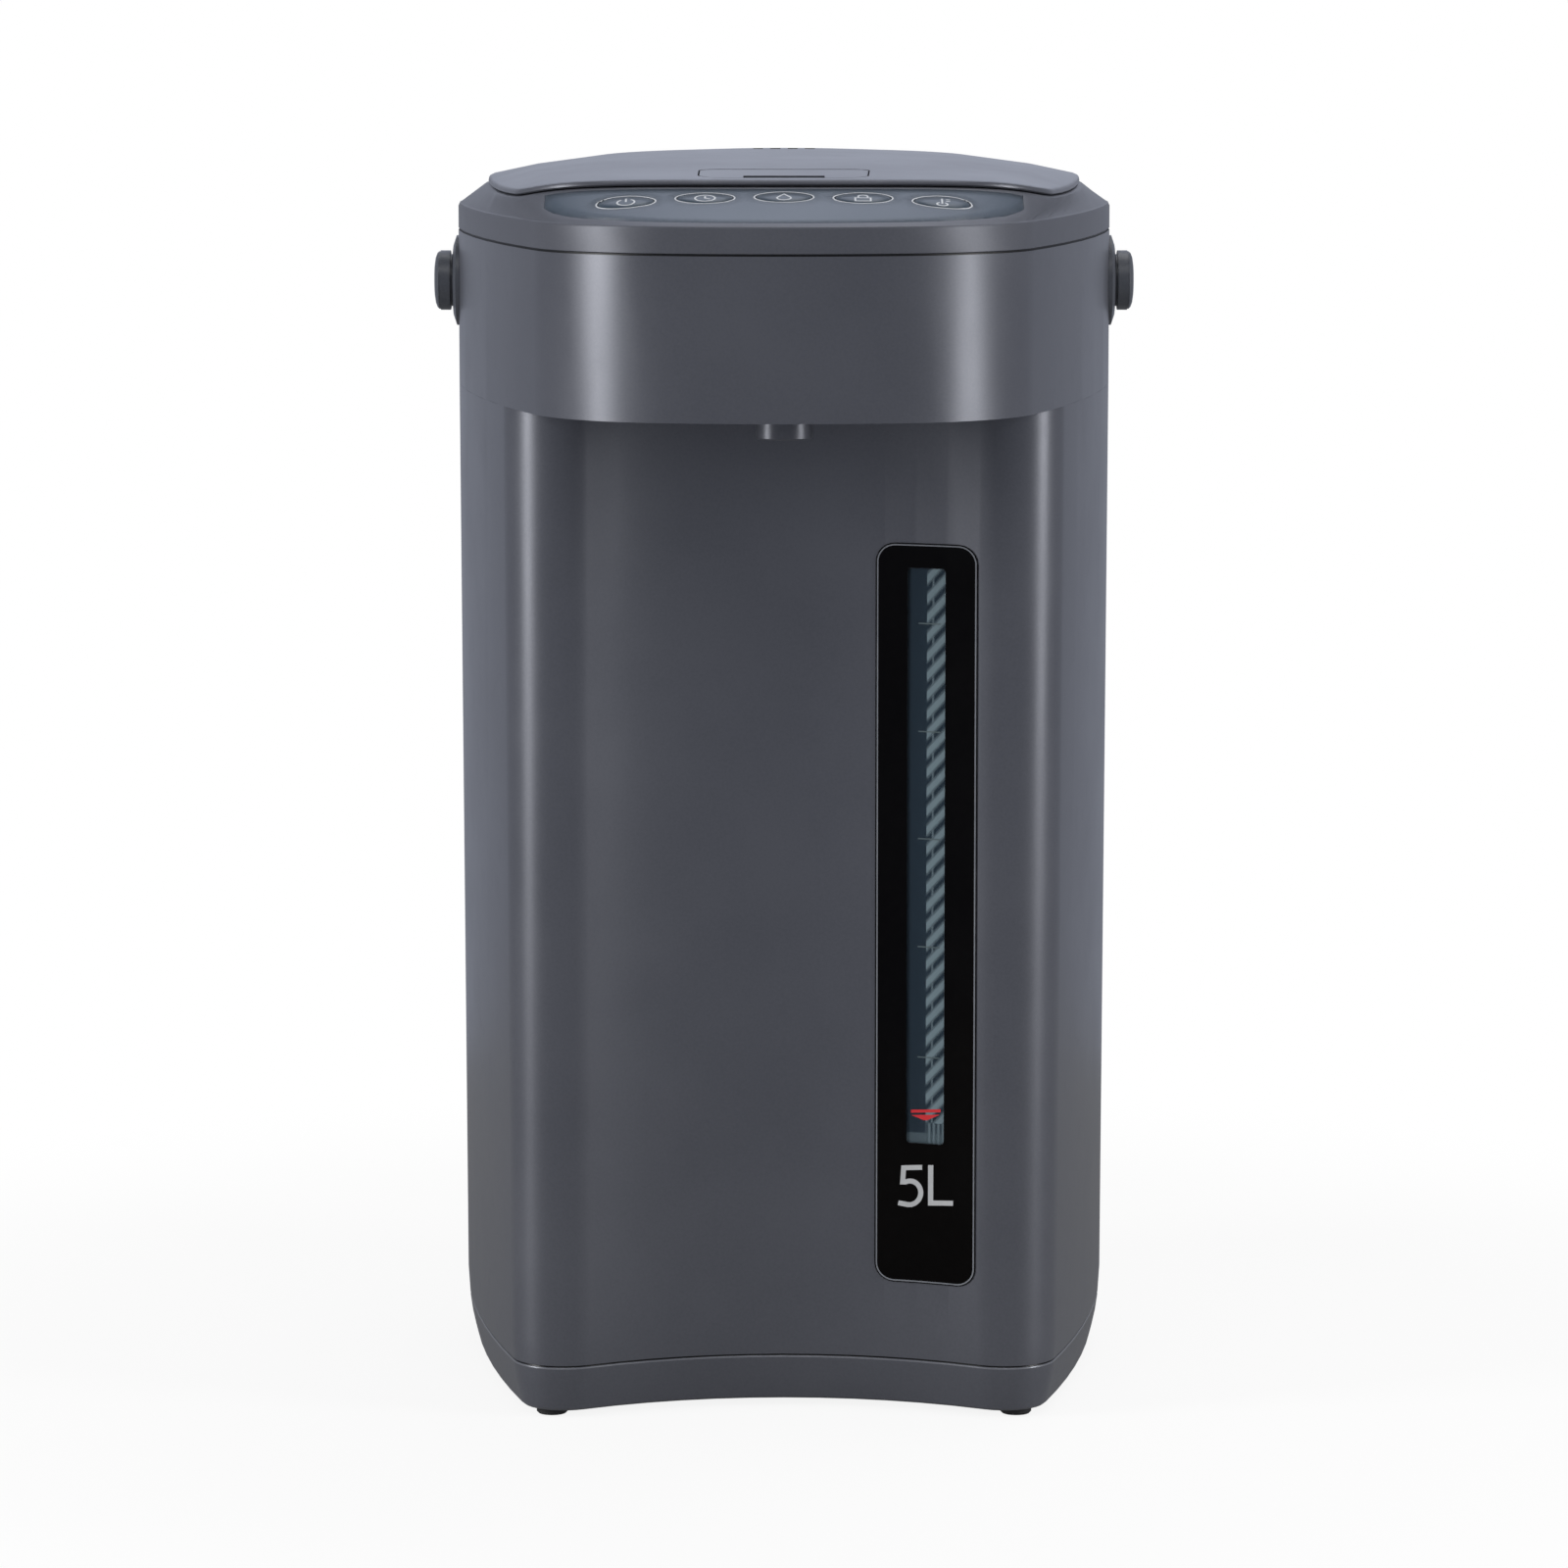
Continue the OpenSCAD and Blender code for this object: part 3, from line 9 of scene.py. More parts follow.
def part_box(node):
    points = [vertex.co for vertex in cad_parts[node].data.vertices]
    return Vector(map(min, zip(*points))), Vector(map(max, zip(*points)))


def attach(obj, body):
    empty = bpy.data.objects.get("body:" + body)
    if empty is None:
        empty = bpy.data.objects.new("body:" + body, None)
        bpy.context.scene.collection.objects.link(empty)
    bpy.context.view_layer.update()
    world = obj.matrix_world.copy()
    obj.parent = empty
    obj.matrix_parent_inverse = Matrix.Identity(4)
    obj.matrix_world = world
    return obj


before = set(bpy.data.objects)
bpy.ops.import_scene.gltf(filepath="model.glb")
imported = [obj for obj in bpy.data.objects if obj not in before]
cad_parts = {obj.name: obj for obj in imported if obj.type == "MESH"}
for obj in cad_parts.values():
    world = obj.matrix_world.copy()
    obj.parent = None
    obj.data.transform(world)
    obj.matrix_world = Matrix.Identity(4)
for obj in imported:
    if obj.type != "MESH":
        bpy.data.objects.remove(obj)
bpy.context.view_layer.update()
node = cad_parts

# ---- Camera ----
# A long lens a little above the lid's height, two metres in front of the pot, tipped down so that
# the deck and the lid show as a shallow slope.
focal_px = 6510
frame_px = 1600
tipped_down = math.radians(7.53)
lens = bpy.data.cameras.new("lens")
lens.sensor_width = 36.0
lens.lens = lens.sensor_width * focal_px / frame_px
lens.clip_start = 0.05
camera = bpy.data.objects.new("camera", lens)
camera.location = (0.0, -2.033, 0.4567)
camera.rotation_euler = (math.pi / 2 - tipped_down, 0.0, 0.0)
bpy.context.scene.collection.objects.link(camera)
bpy.context.scene.camera = camera
bpy.context.scene.view_settings.view_transform = "Standard"


# ---- Studio floor, room and lamps ----
# The pot stands on a white sheet in a dim room, with a white screen behind it that is brightest above
# the lid. Two tall soft boxes stand straight out at its sides, and two wide ones hang over it.
def tone(code):
    """A hex colour as linear values."""
    part = [int(code[i:i + 2], 16) / 255 for i in (1, 3, 5)]
    return [v / 12.92 if v <= 0.04045 else ((v + 0.055) / 1.055) ** 2.4 for v in part] + [1.0]


def add(tree, kind, inputs=(), links=(), stops=(), **settings):
    """A node with its settings, input values, links and ramp stops."""
    made = tree.nodes.new(kind)
    for name, value in settings.items():
        setattr(made, name, value)
    for socket, value in dict(inputs).items():
        made.inputs[socket].default_value = value
    for socket, source in dict(links).items():
        tree.links.new(source, made.inputs[socket])
    if stops:
        marks = made.color_ramp.elements
        while len(marks) < len(stops):
            marks.new(0.5)
        for mark, (place, value) in zip(marks, stops):
            mark.position = place
            mark.color = tone(value) if isinstance(value, str) else (value, value, value, 1.0)
    return made


# White paper, as plain as it is seen; the pot mirrors it as a dimmer grey, and it keeps the shadow in a
# round patch that fades out from shadow_keeps to shadow_ends, in metres.
floor_glow = 1.0
glow_share = 0.88
glow_mirrored = 0.18
shadow_keeps = 0.25
shadow_ends = 0.50
paper = bpy.data.materials.new("white studio paper")
paper.use_nodes = True
tree = paper.node_tree
tree.nodes.clear()
place = add(tree, "ShaderNodeTexCoord").outputs["Object"]
fibre = add(tree, "ShaderNodeTexNoise", {"Scale": 350.0, "Detail": 3.0}, {"Vector": place})
white = add(tree, "ShaderNodeValToRGB", links={0: fibre.outputs[0]},
            stops=[(0.3, "#d2d2d2"), (0.7, "#d8d8d8")])
rays = add(tree, "ShaderNodeLightPath").outputs
sheen = add(tree, "ShaderNodeMix", {7: tone("#6a6a6a")},
            {0: rays["Is Glossy Ray"], 6: white.outputs[0]}, data_type="RGBA")
sheen = add(tree, "ShaderNodeMix", {7: tone("#fcfcfc")},
            {0: rays["Is Camera Ray"], 6: sheen.outputs[2]}, data_type="RGBA")
lit = add(tree, "ShaderNodeBsdfDiffuse", links={"Color": sheen.outputs[2]})
glow = add(tree, "ShaderNodeEmission", {"Color": (1, 1, 1, 1), "Strength": floor_glow})
seen = add(tree, "ShaderNodeMath", operation="MAXIMUM",
           links={0: rays["Is Camera Ray"], 1: rays["Is Transmission Ray"]})
mirrored = add(tree, "ShaderNodeMath", {1: glow_mirrored}, {0: rays["Is Glossy Ray"]},
               operation="MULTIPLY")
seen = add(tree, "ShaderNodeMath", links={0: seen.outputs[0], 1: mirrored.outputs[0]},
           operation="MAXIMUM")
away = add(tree, "ShaderNodeVectorMath", links={0: place}, operation="LENGTH")
fade = {"From Min": shadow_keeps, "From Max": shadow_ends, "To Min": glow_share, "To Max": 1.0}
rim = add(tree, "ShaderNodeMapRange", fade, {"Value": away.outputs["Value"]},
          interpolation_type="SMOOTHSTEP")
share = add(tree, "ShaderNodeMath", links={0: seen.outputs[0], 1: rim.outputs[0]},
            operation="MULTIPLY")
both = add(tree, "ShaderNodeMixShader",
           links={0: share.outputs[0], 1: lit.outputs[0], 2: glow.outputs[0]})
add(tree, "ShaderNodeOutputMaterial", links={"Surface": both.outputs[0]})

sheet_half = (0.65, 0.55, 1.0)
sheet_thick = 0.004
sheet_bm = bmesh.new()
bmesh.ops.create_grid(sheet_bm, x_segments=2, y_segments=2, size=1.0)
bmesh.ops.scale(sheet_bm, vec=sheet_half, verts=sheet_bm.verts)
under = bmesh.ops.extrude_face_region(sheet_bm, geom=sheet_bm.faces[:])["geom"]
bmesh.ops.translate(sheet_bm, vec=(0, 0, -sheet_thick),
                    verts=[v for v in under if isinstance(v, bmesh.types.BMVert)])
bmesh.ops.recalc_face_normals(sheet_bm, faces=sheet_bm.faces)
sheet_mesh = bpy.data.meshes.new("paper_sheet")
sheet_bm.to_mesh(sheet_mesh)
sheet_bm.free()
sheet_mesh.materials.append(paper)
sheet = bpy.data.objects.new("paper_sheet", sheet_mesh)
bpy.context.scene.collection.objects.link(sheet)

# The room's levels: fill_level lights the pot and the others are what it mirrors. A direction's parts run
# from -1 to 1. The screen fills in towards the back, and its brightest part stands above the lid.
fill_level = 0.23
room_level = 0.27
screen_white = 0.55
screen_top = 0.58
screen_from = 0.80
top_half_wide = (0.12, 0.42)
top_rises = (0.08, 0.22)
top_behind = 0.5
room = bpy.data.worlds.new("dim room with a white screen")
bpy.context.scene.world = room
room.use_nodes = True
tree = room.node_tree
tree.nodes.clear()
ahead = add(tree, "ShaderNodeTexCoord").outputs["Generated"]
way = add(tree, "ShaderNodeSeparateXYZ", links={0: ahead})
fade = {"From Min": screen_from, "From Max": 1.0, "To Min": room_level, "To Max": screen_white}
screen = add(tree, "ShaderNodeMapRange", fade, {"Value": way.outputs[1]},
             interpolation_type="SMOOTHSTEP")
across = add(tree, "ShaderNodeMath", links={0: way.outputs[0]}, operation="ABSOLUTE")
fade = {"From Min": top_half_wide[0], "From Max": top_half_wide[1], "To Min": screen_top, "To Max": 0.0}
across = add(tree, "ShaderNodeMapRange", fade, {"Value": across.outputs[0]},
             interpolation_type="SMOOTHSTEP")
above = add(tree, "ShaderNodeMapRange", {"From Min": top_rises[0], "From Max": top_rises[1]},
            {"Value": way.outputs[2]}, interpolation_type="SMOOTHSTEP")
behind = add(tree, "ShaderNodeMath", {1: top_behind}, {0: way.outputs[1]}, operation="GREATER_THAN")
above = add(tree, "ShaderNodeMath", links={0: above.outputs[0], 1: behind.outputs[0]},
            operation="MULTIPLY")
screen = add(tree, "ShaderNodeMath", operation="MULTIPLY_ADD",
             links={0: across.outputs[0], 1: above.outputs[0], 2: screen.outputs[0]})
rays = add(tree, "ShaderNodeLightPath").outputs
seen = add(tree, "ShaderNodeMath", operation="MAXIMUM",
           links={0: rays["Is Camera Ray"], 1: rays["Is Transmission Ray"]})
level = add(tree, "ShaderNodeMix", {2: fill_level},
            {0: rays["Is Glossy Ray"], 3: screen.outputs[0]}, data_type="FLOAT")
level = add(tree, "ShaderNodeMix", {3: 1.0}, {0: seen.outputs[0], 2: level.outputs[0]},
            data_type="FLOAT")
cool = add(tree, "ShaderNodeMix", {6: (1, 1, 1, 1), 7: (0.88, 0.94, 1.12, 1)},
           {0: rays["Is Glossy Ray"]}, data_type="RGBA")
sky = add(tree, "ShaderNodeBackground", links={"Color": cool.outputs[2], "Strength": level.outputs[0]})
add(tree, "ShaderNodeOutputWorld", links={"Surface": sky.outputs[0]})


def soft_box(name, at, towards, size, watts):
    lamp = bpy.data.lights.new(name, "AREA")
    lamp.shape = "RECTANGLE"
    lamp.size, lamp.size_y = size
    lamp.energy = watts
    box = bpy.data.objects.new(name, lamp)
    box.location = at
    box.rotation_euler = (Vector(towards) - Vector(at)).to_track_quat("-Z", "Y").to_euler()
    box.visible_camera = False
    bpy.context.scene.collection.objects.link(box)


soft_box("left box", (-1.9, -0.75, 0.60), (0, 0, 0.25), (0.60, 1.2), 30)
soft_box("right box", (1.9, -0.75, 0.60), (0, 0, 0.25), (0.60, 1.2), 25)
soft_box("top box", (0.35, 0.5, 1.9), (0, 0, 0.35), (1.3, 0.9), 8)
soft_box("front box", (0, -1.7, 2.2), (0, 0, 0.35), (1.8, 0.8), 10)


# ---- Body shell and nozzle collar ----
# The outer shell is one ABS moulding, sprayed with a slate lacquer that holds fine metal flakes. That
# gives a satin grey with soft bright bands where it turns a corner.
def surface(name, code, rough, **shader):
    """A material with one Principled shader, and the place on the piece for its patterns."""
    made = bpy.data.materials.new(name)
    made.use_nodes = True
    tree = made.node_tree
    tree.nodes.clear()
    place = add(tree, "ShaderNodeTexCoord").outputs["Object"]
    values = {"Base Color": tone(code), "Roughness": rough}
    values.update({k.replace("_", " "): v for k, v in shader.items()})
    bsdf = add(tree, "ShaderNodeBsdfPrincipled", values)
    add(tree, "ShaderNodeOutputMaterial", links={"Surface": bsdf.outputs[0]})
    return made, tree, place, bsdf


def per_mm(size):
    """The noise scale whose features are about that many mm apart."""
    return 1000.0 / size


def grained(tree, place, bsdf, size, depth, tones=None, rough=None, patch=25.0, worn=0.05):
    """Grain of a real size and depth in mm, two tones and two roughnesses that drift over patches of so
    many mm, and rubbed spots a fifth of that size, rougher by worn."""
    grain = add(tree, "ShaderNodeTexNoise", {"Scale": per_mm(size), "Detail": 2.0}, {"Vector": place})
    bump = add(tree, "ShaderNodeBump", {"Strength": 1.0, "Distance": depth / 1000},
               {"Height": grain.outputs[0]})
    tree.links.new(bump.outputs[0], bsdf.inputs["Normal"])
    drift = add(tree, "ShaderNodeTexNoise", {"Scale": per_mm(patch), "Detail": 4.0}, {"Vector": place})
    if tones:
        speck = add(tree, "ShaderNodeMix", {0: 0.5}, {2: drift.outputs[0], 3: grain.outputs[0]},
                    data_type="FLOAT")
        shade = add(tree, "ShaderNodeValToRGB", links={0: speck.outputs[0]},
                    stops=[(0.36, tones[0]), (0.62, tones[1])])
        tree.links.new(shade.outputs[0], bsdf.inputs["Base Color"])
    if rough:
        dull = add(tree, "ShaderNodeValToRGB", links={0: drift.outputs[0]},
                   stops=[(0.3, rough[0]), (0.7, rough[1])])
        spots = add(tree, "ShaderNodeTexNoise",
                    {"Scale": per_mm(patch / 5), "Detail": 6.0, "Distortion": 0.4}, {"Vector": place})
        rubbed = add(tree, "ShaderNodeMapRange", {"From Min": 0.5, "From Max": 0.85, "To Max": worn},
                     {"Value": spots.outputs[0]}, interpolation_type="SMOOTHSTEP")
        total = add(tree, "ShaderNodeMath", links={0: dull.outputs[0], 1: rubbed.outputs[0]},
                    operation="ADD")
        tree.links.new(total.outputs[0], bsdf.inputs["Roughness"])


def smoothing():
    """Modifier group: shades a face smooth unless its edge turns more than the stated angle."""
    group = bpy.data.node_groups.new("soft shading", "GeometryNodeTree")
    group.interface.new_socket("Geometry", in_out="INPUT", socket_type="NodeSocketGeometry")
    group.interface.new_socket("Angle", in_out="INPUT", socket_type="NodeSocketFloat")
    group.interface.new_socket("Geometry", in_out="OUTPUT", socket_type="NodeSocketGeometry")
    start = add(group, "NodeGroupInput")
    turn = add(group, "GeometryNodeInputMeshEdgeAngle")
    sharp = add(group, "FunctionNodeCompare", links={0: turn.outputs[0], 1: start.outputs[1]},
                data_type="FLOAT", operation="GREATER_THAN")
    faces = add(group, "GeometryNodeSetShadeSmooth", {"Shade Smooth": True},
                {"Geometry": start.outputs[0]}, domain="FACE")
    edges = add(group, "GeometryNodeSetShadeSmooth", {"Shade Smooth": False},
                {"Geometry": faces.outputs[0], "Selection": sharp.outputs[0]}, domain="EDGE")
    add(group, "NodeGroupOutput", links={0: edges.outputs[0]})
    return group


soft_shading = smoothing()
same_corner = 2e-6
smooth_turn = math.radians(32)
rounded_turn = math.radians(50)


def dress(names, material, edge=0.0, edge_highlight=None):
    """Gives CAD nodes their finish: welded corners, a small edge radius in mm that takes a paler material
    as a painted highlight where one is given, and soft shading weighted by the size of the faces."""
    for name in names.split():
        piece = node[name]
        piece.data.materials.clear()
        piece.data.materials.append(material)
        weld = piece.modifiers.new("weld", "WELD")
        weld.merge_threshold = same_corner
        if edge:
            radius = piece.modifiers.new("edge", "BEVEL")
            radius.width = edge / 1000
            radius.segments = 2
            radius.limit_method = "ANGLE"
            radius.angle_limit = rounded_turn
            if edge_highlight:
                piece.data.materials.append(edge_highlight)
                radius.material = 1
        shade = piece.modifiers.new("shading", "NODES")
        shade.node_group = soft_shading
        shade["Socket_1"] = smooth_turn
        weights = piece.modifiers.new("weights", "WEIGHTED_NORMAL")
        weights.keep_sharp = True


# The flakes are finer than a pixel, so they are drawn as a grain of 0.8 mm. The two joint grooves,
# the steam slots and the lever's notch are painted near-black as painted shade in those recesses,
# and the edges get a paler lacquer as a painted highlight. A pit is half its width, its middle and
# half its length to the back, and its top.
lacquer, tree, place, bsdf = surface("flake lacquer on ABS", "#55575f", 0.35, Metallic=0.30,
                                     Specular_IOR_Level=0.5)
grained(tree, place, bsdf, 0.8, 0.006, ("#53555d", "#585a62"), (0.33, 0.38), 40, 0.02)
# A paler copy of the lacquer for the bevelled edges, as a painted highlight along them.
lacquer_edge_highlight, highlight_tree, highlight_place, highlight_bsdf = surface("lacquer edge with painted highlight", "#6f7178", 0.30,
                                                                 Metallic=0.30)
grained(highlight_tree, highlight_place, highlight_bsdf, 0.8, 0.006, ("#6b6d74", "#74767d"), (0.28, 0.34), 40,
        0.03)
ring_groove_z = 0.3649
base_groove_z = 0.0170
groove_half = 0.00030
steam_slots = (0.0115, 0.0475, 0.0080, 0.3896)
lever_notch = (0.0125, -0.0981, 0.0034, 0.3857)
pit_half_deep = 0.006
for coat, spot, layer in ((tree, place, bsdf), (highlight_tree, highlight_place, highlight_bsdf)):
    across, along, height = add(coat, "ShaderNodeSeparateXYZ", links={0: spot}).outputs
    ring_groove = add(coat, "ShaderNodeMath", {1: ring_groove_z, 2: groove_half}, {0: height},
                      operation="COMPARE")
    base_groove = add(coat, "ShaderNodeMath", {1: base_groove_z, 2: groove_half}, {0: height},
                      operation="COMPARE")
    groove = add(coat, "ShaderNodeMath", links={0: ring_groove.outputs[0], 1: base_groove.outputs[0]},
                 operation="MAXIMUM")
    for half_x, mid_y, half_y, top in (steam_slots, lever_notch):
        by_x = add(coat, "ShaderNodeMath", {1: 0.0, 2: half_x}, {0: across}, operation="COMPARE")
        by_y = add(coat, "ShaderNodeMath", {1: mid_y, 2: half_y}, {0: along}, operation="COMPARE")
        by_z = add(coat, "ShaderNodeMath", {1: top - pit_half_deep, 2: pit_half_deep}, {0: height},
                   operation="COMPARE")
        pit = add(coat, "ShaderNodeMath", links={0: by_x.outputs[0], 1: by_y.outputs[0]},
                  operation="MULTIPLY")
        pit = add(coat, "ShaderNodeMath", links={0: pit.outputs[0], 1: by_z.outputs[0]},
                  operation="MULTIPLY")
        groove = add(coat, "ShaderNodeMath", links={0: groove.outputs[0], 1: pit.outputs[0]},
                     operation="MAXIMUM")
    # Grooves, steam slots and the notch take near-black #0c0c0e: painted shade in these recesses.
    lacquer_tone = layer.inputs["Base Color"].links[0].from_socket
    painted_shade = add(coat, "ShaderNodeMix", {7: tone("#0c0c0e")}, {0: groove.outputs[0], 6: lacquer_tone},
               data_type="RGBA")
    coat.links.new(painted_shade.outputs[2], layer.inputs["Base Color"])
dress("outer_shell nozzle", lacquer, 0.35, edge_highlight=lacquer_edge_highlight)

# ---- Base cover, screws and feet ----
# The base is a second moulding in the same lacquer, screwed up into the shell; four rubber feet are
# pressed through its floor and the screws are zinc-plated steel.
dress("base_cover", lacquer, 0.35, edge_highlight=lacquer_edge_highlight)
# Plated zinc: a greyish metal, cloudy where the plating is thin.
zinc, tree, place, bsdf = surface("zinc plated steel", "#b9bab6", 0.38, Metallic=1.0)
grained(tree, place, bsdf, 1.2, 0.01, ("#aeb0ac", "#c6c7c2"), (0.3, 0.48), 6, 0.15)
dress("base_screws tie_rods lid_screws latch_keeper pump_motor", zinc)
# Moulded rubber: black, with hardly any shine and a fine open grain.
rubber, tree, place, bsdf = surface("black EPDM rubber", "#1c1d1f", 0.8)
grained(tree, place, bsdf, 0.6, 0.03, ("#17181a", "#26272a"), (0.72, 0.88), 10)
dress("rubber_feet tube_seals", rubber, 0.2)

# ---- Pot, wrap and heater ----
# The pot is deep-drawn stainless steel, polished round and round inside; the wrap is glass wool felt,
# and the heater and its shield are cast aluminium.
# Brushed steel: long fine lines round the wall, which spread its reflections up and down. They are
# drawn half a millimetre apart, coarser than they are.
line_length = 22
line_flat = 40.0
stainless, tree, place, bsdf = surface("brushed stainless steel", "#c3c4c4", 0.3, Metallic=1.0)
stretch = add(tree, "ShaderNodeMapping", {"Scale": (1.0, 1.0, line_flat)}, {"Vector": place})
lines = add(tree, "ShaderNodeTexNoise", {"Scale": per_mm(line_length), "Detail": 6.0},
            {"Vector": stretch.outputs[0]})
bump = add(tree, "ShaderNodeBump", {"Strength": 0.6, "Distance": 0.00002}, {"Height": lines.outputs[0]})
tree.links.new(bump.outputs[0], bsdf.inputs["Normal"])
dull = add(tree, "ShaderNodeValToRGB", links={0: lines.outputs[0]}, stops=[(0.3, 0.24), (0.7, 0.33)])
tree.links.new(dull.outputs[0], bsdf.inputs["Roughness"])
shade = add(tree, "ShaderNodeValToRGB", links={0: lines.outputs[0]},
            stops=[(0.3, "#bdbebe"), (0.7, "#cacbca")])
tree.links.new(shade.outputs[0], bsdf.inputs["Base Color"])
dress("inner_pot", stainless)
# Stamped steel sheet: an even satin metal with the faint waves of the press.
satin_steel, tree, place, bsdf = surface("satin stamped stainless steel", "#c6c7c7", 0.34, Metallic=1.0)
grained(tree, place, bsdf, 0.7, 0.003, ("#c1c2c2", "#cccdcd"), (0.31, 0.37), 60, 0.03)
dress("lid_inner_plate", satin_steel)
# Felt: matt, cream and woolly.
wool, tree, place, bsdf = surface("glass wool felt", "#c9c4b8", 0.95)
grained(tree, place, bsdf, 1.5, 0.5, ("#b9b3a4", "#d8d4c9"), (0.88, 0.95), 12)
dress("insulation_wrap", wool)
# Cast metal: a dull grey with a sandy skin.
cast, tree, place, bsdf = surface("cast aluminium", "#b6b8ba", 0.5, Metallic=1.0)
grained(tree, place, bsdf, 0.9, 0.05, ("#a6a8aa", "#c4c6c7"), (0.42, 0.6), 14, 0.15)
dress("heater_plate heat_shield", cast)

# ---- Rubber hoses, seals and white fittings ----
# Food-grade silicone for seals and hoses, natural nylon for the valve, the spout pipe, the impeller
# and the steam trap. Both let a little light in, which softens their edges.
silicone, tree, place, bsdf = surface("food grade silicone", "#d5d6d2", 0.55, Subsurface_Weight=0.15,
                                      Subsurface_Scale=0.002)
grained(tree, place, bsdf, 1.4, 0.02, ("#cccdc8", "#dfe0dc"), (0.48, 0.62), 18)
dress("pot_seal lid_seal pump_inlet_sleeve pump_outlet_elbow head_hose", silicone)
nylon, tree, place, bsdf = surface("natural nylon", "#e2e0d8", 0.45, Subsurface_Weight=0.1,
                                   Subsurface_Scale=0.001)
grained(tree, place, bsdf, 0.7, 0.02, ("#d9d6cc", "#e9e7e0"), (0.4, 0.52), 16)
dress("valve_body spout_pipe pump_impeller steam_trap", nylon, 0.2)
# Polished pins and ball: a bright metal with sharp highlights, a little scuffed where it turns.
steel, tree, place, bsdf = surface("polished steel", "#c9cacb", 0.16, Metallic=1.0)
grained(tree, place, bsdf, 2.0, 0.004, ("#c0c1c2", "#d4d5d5"), (0.12, 0.22), 8, 0.12)
dress("valve_ball motor_rotor inlet_pins hinge_pin lever_pin handle_pivots", steel)

# ---- Heater controls, boards and pump housing ----
# Glass-fibre boards with a green solder mask, black phenolic switches, a ceramic fuse body and a glass
# filled polypropylene pump housing, all screwed or clipped inside the body.
# Solder mask: glossy green over paler copper tracks, with the weave of the board just under it.
track_pitch = 2.5
weave_pitch = 0.6
board, tree, place, bsdf = surface("solder mask on glass fibre", "#2a6a42", 0.35, Coat_Weight=0.3)
cells = add(tree, "ShaderNodeTexVoronoi", {"Scale": per_mm(track_pitch)}, {"Vector": place},
            feature="DISTANCE_TO_EDGE")
weave = add(tree, "ShaderNodeTexNoise", {"Scale": per_mm(weave_pitch), "Detail": 2.0},
            {"Vector": place})
shade = add(tree, "ShaderNodeValToRGB", links={0: cells.outputs[0]},
            stops=[(0.02, "#3b8a58"), (0.08, "#245c39")])
dull = add(tree, "ShaderNodeValToRGB", links={0: weave.outputs[0]}, stops=[(0.3, 0.28), (0.7, 0.42)])
bump = add(tree, "ShaderNodeBump", {"Distance": 0.00003}, {"Height": weave.outputs[0]})
tree.links.new(shade.outputs[0], bsdf.inputs["Base Color"])
tree.links.new(dull.outputs[0], bsdf.inputs["Roughness"])
tree.links.new(bump.outputs[0], bsdf.inputs["Normal"])
dress("power_board control_board", board)
# Pressed phenolic: hard black with a dry gloss.
phenolic, tree, place, bsdf = surface("black phenolic", "#202022", 0.45)
grained(tree, place, bsdf, 0.5, 0.02, ("#1a1a1c", "#2b2b2e"), (0.38, 0.55), 7)
dress("thermostat key_switches", phenolic, 0.15)
# Unglazed ceramic: chalky and cream.
ceramic, tree, place, bsdf = surface("fired ceramic", "#d9d1c1", 0.6)
grained(tree, place, bsdf, 0.4, 0.02, ("#cfc6b4", "#e4ddcf"), (0.5, 0.7), 5)
dress("thermal_fuse", ceramic)
# Glass fibres near the skin make this moulding matt and faintly mottled.
housing, tree, place, bsdf = surface("glass filled polypropylene", "#303235", 0.6)
grained(tree, place, bsdf, 0.9, 0.04, ("#292b2e", "#3b3d41"), (0.52, 0.68), 12)
dress("pump_casing motor_bracket", housing, 0.2)

# ---- Power inlet ----
# A black PBT socket snapped into the back of the shell, with three polished pins; its face has a fine
# spark-eroded texture that breaks up the shine.
pbt, tree, place, bsdf = surface("black PBT", "#191a1c", 0.5)
grained(tree, place, bsdf, 0.35, 0.02, ("#141517", "#232427"), (0.45, 0.6), 9)
dress("inlet_housing", pbt, 0.3)


# ---- Level gauge ----
# A black acrylic window with a clear slot, glued into the shell; behind the slot stand the glass level
# tube and a strip with slanted stripes, which the water bends so that its level can be read.
# Cast acrylic: a deep even black and glossy; its bevelled edge is painted pale grey as a painted
# highlight.
acrylic, tree, place, bsdf = surface("black cast acrylic", "#030202", 0.12, Specular_IOR_Level=0.12)
grained(tree, place, bsdf, 3.0, 0.0005, ("#020101", "#040303"), (0.10, 0.15), 30, 0.02)
# Pale grey for the window's bevel and the line round it: a painted highlight.
acrylic_edge_highlight, tree, place, bsdf = surface("acrylic edge with painted highlight", "#777a82", 0.20, Specular_IOR_Level=0.4)
grained(tree, place, bsdf, 1.5, 0.001, ("#72757c", "#7e8188"), (0.17, 0.24), 20, 0.03)
dress("gauge_window", acrylic, 0.30, edge_highlight=acrylic_edge_highlight)
# The slot's lens is smoked, so what stands behind it shows dim and blue.
smoke, lens_tree, lens_place, lens_bsdf = surface("smoked clear acrylic", "#2c3a46", 0.10, IOR=1.49,
                                                  Alpha=0.62, Specular_IOR_Level=0.3)
grained(lens_tree, lens_place, lens_bsdf, 12.0, 0.0002, None, (0.09, 0.12), 40, 0.0)
dress("gauge_lens", smoke)
strip, tree, place, bsdf = surface("striped polystyrene strip", "#20303a", 0.5)
glass, glass_tree, glass_place, glass_bsdf = surface("borosilicate glass full of water", "#a9b6bb", 0.08,
                                                     IOR=1.47, Alpha=0.55, Specular_IOR_Level=0.3)
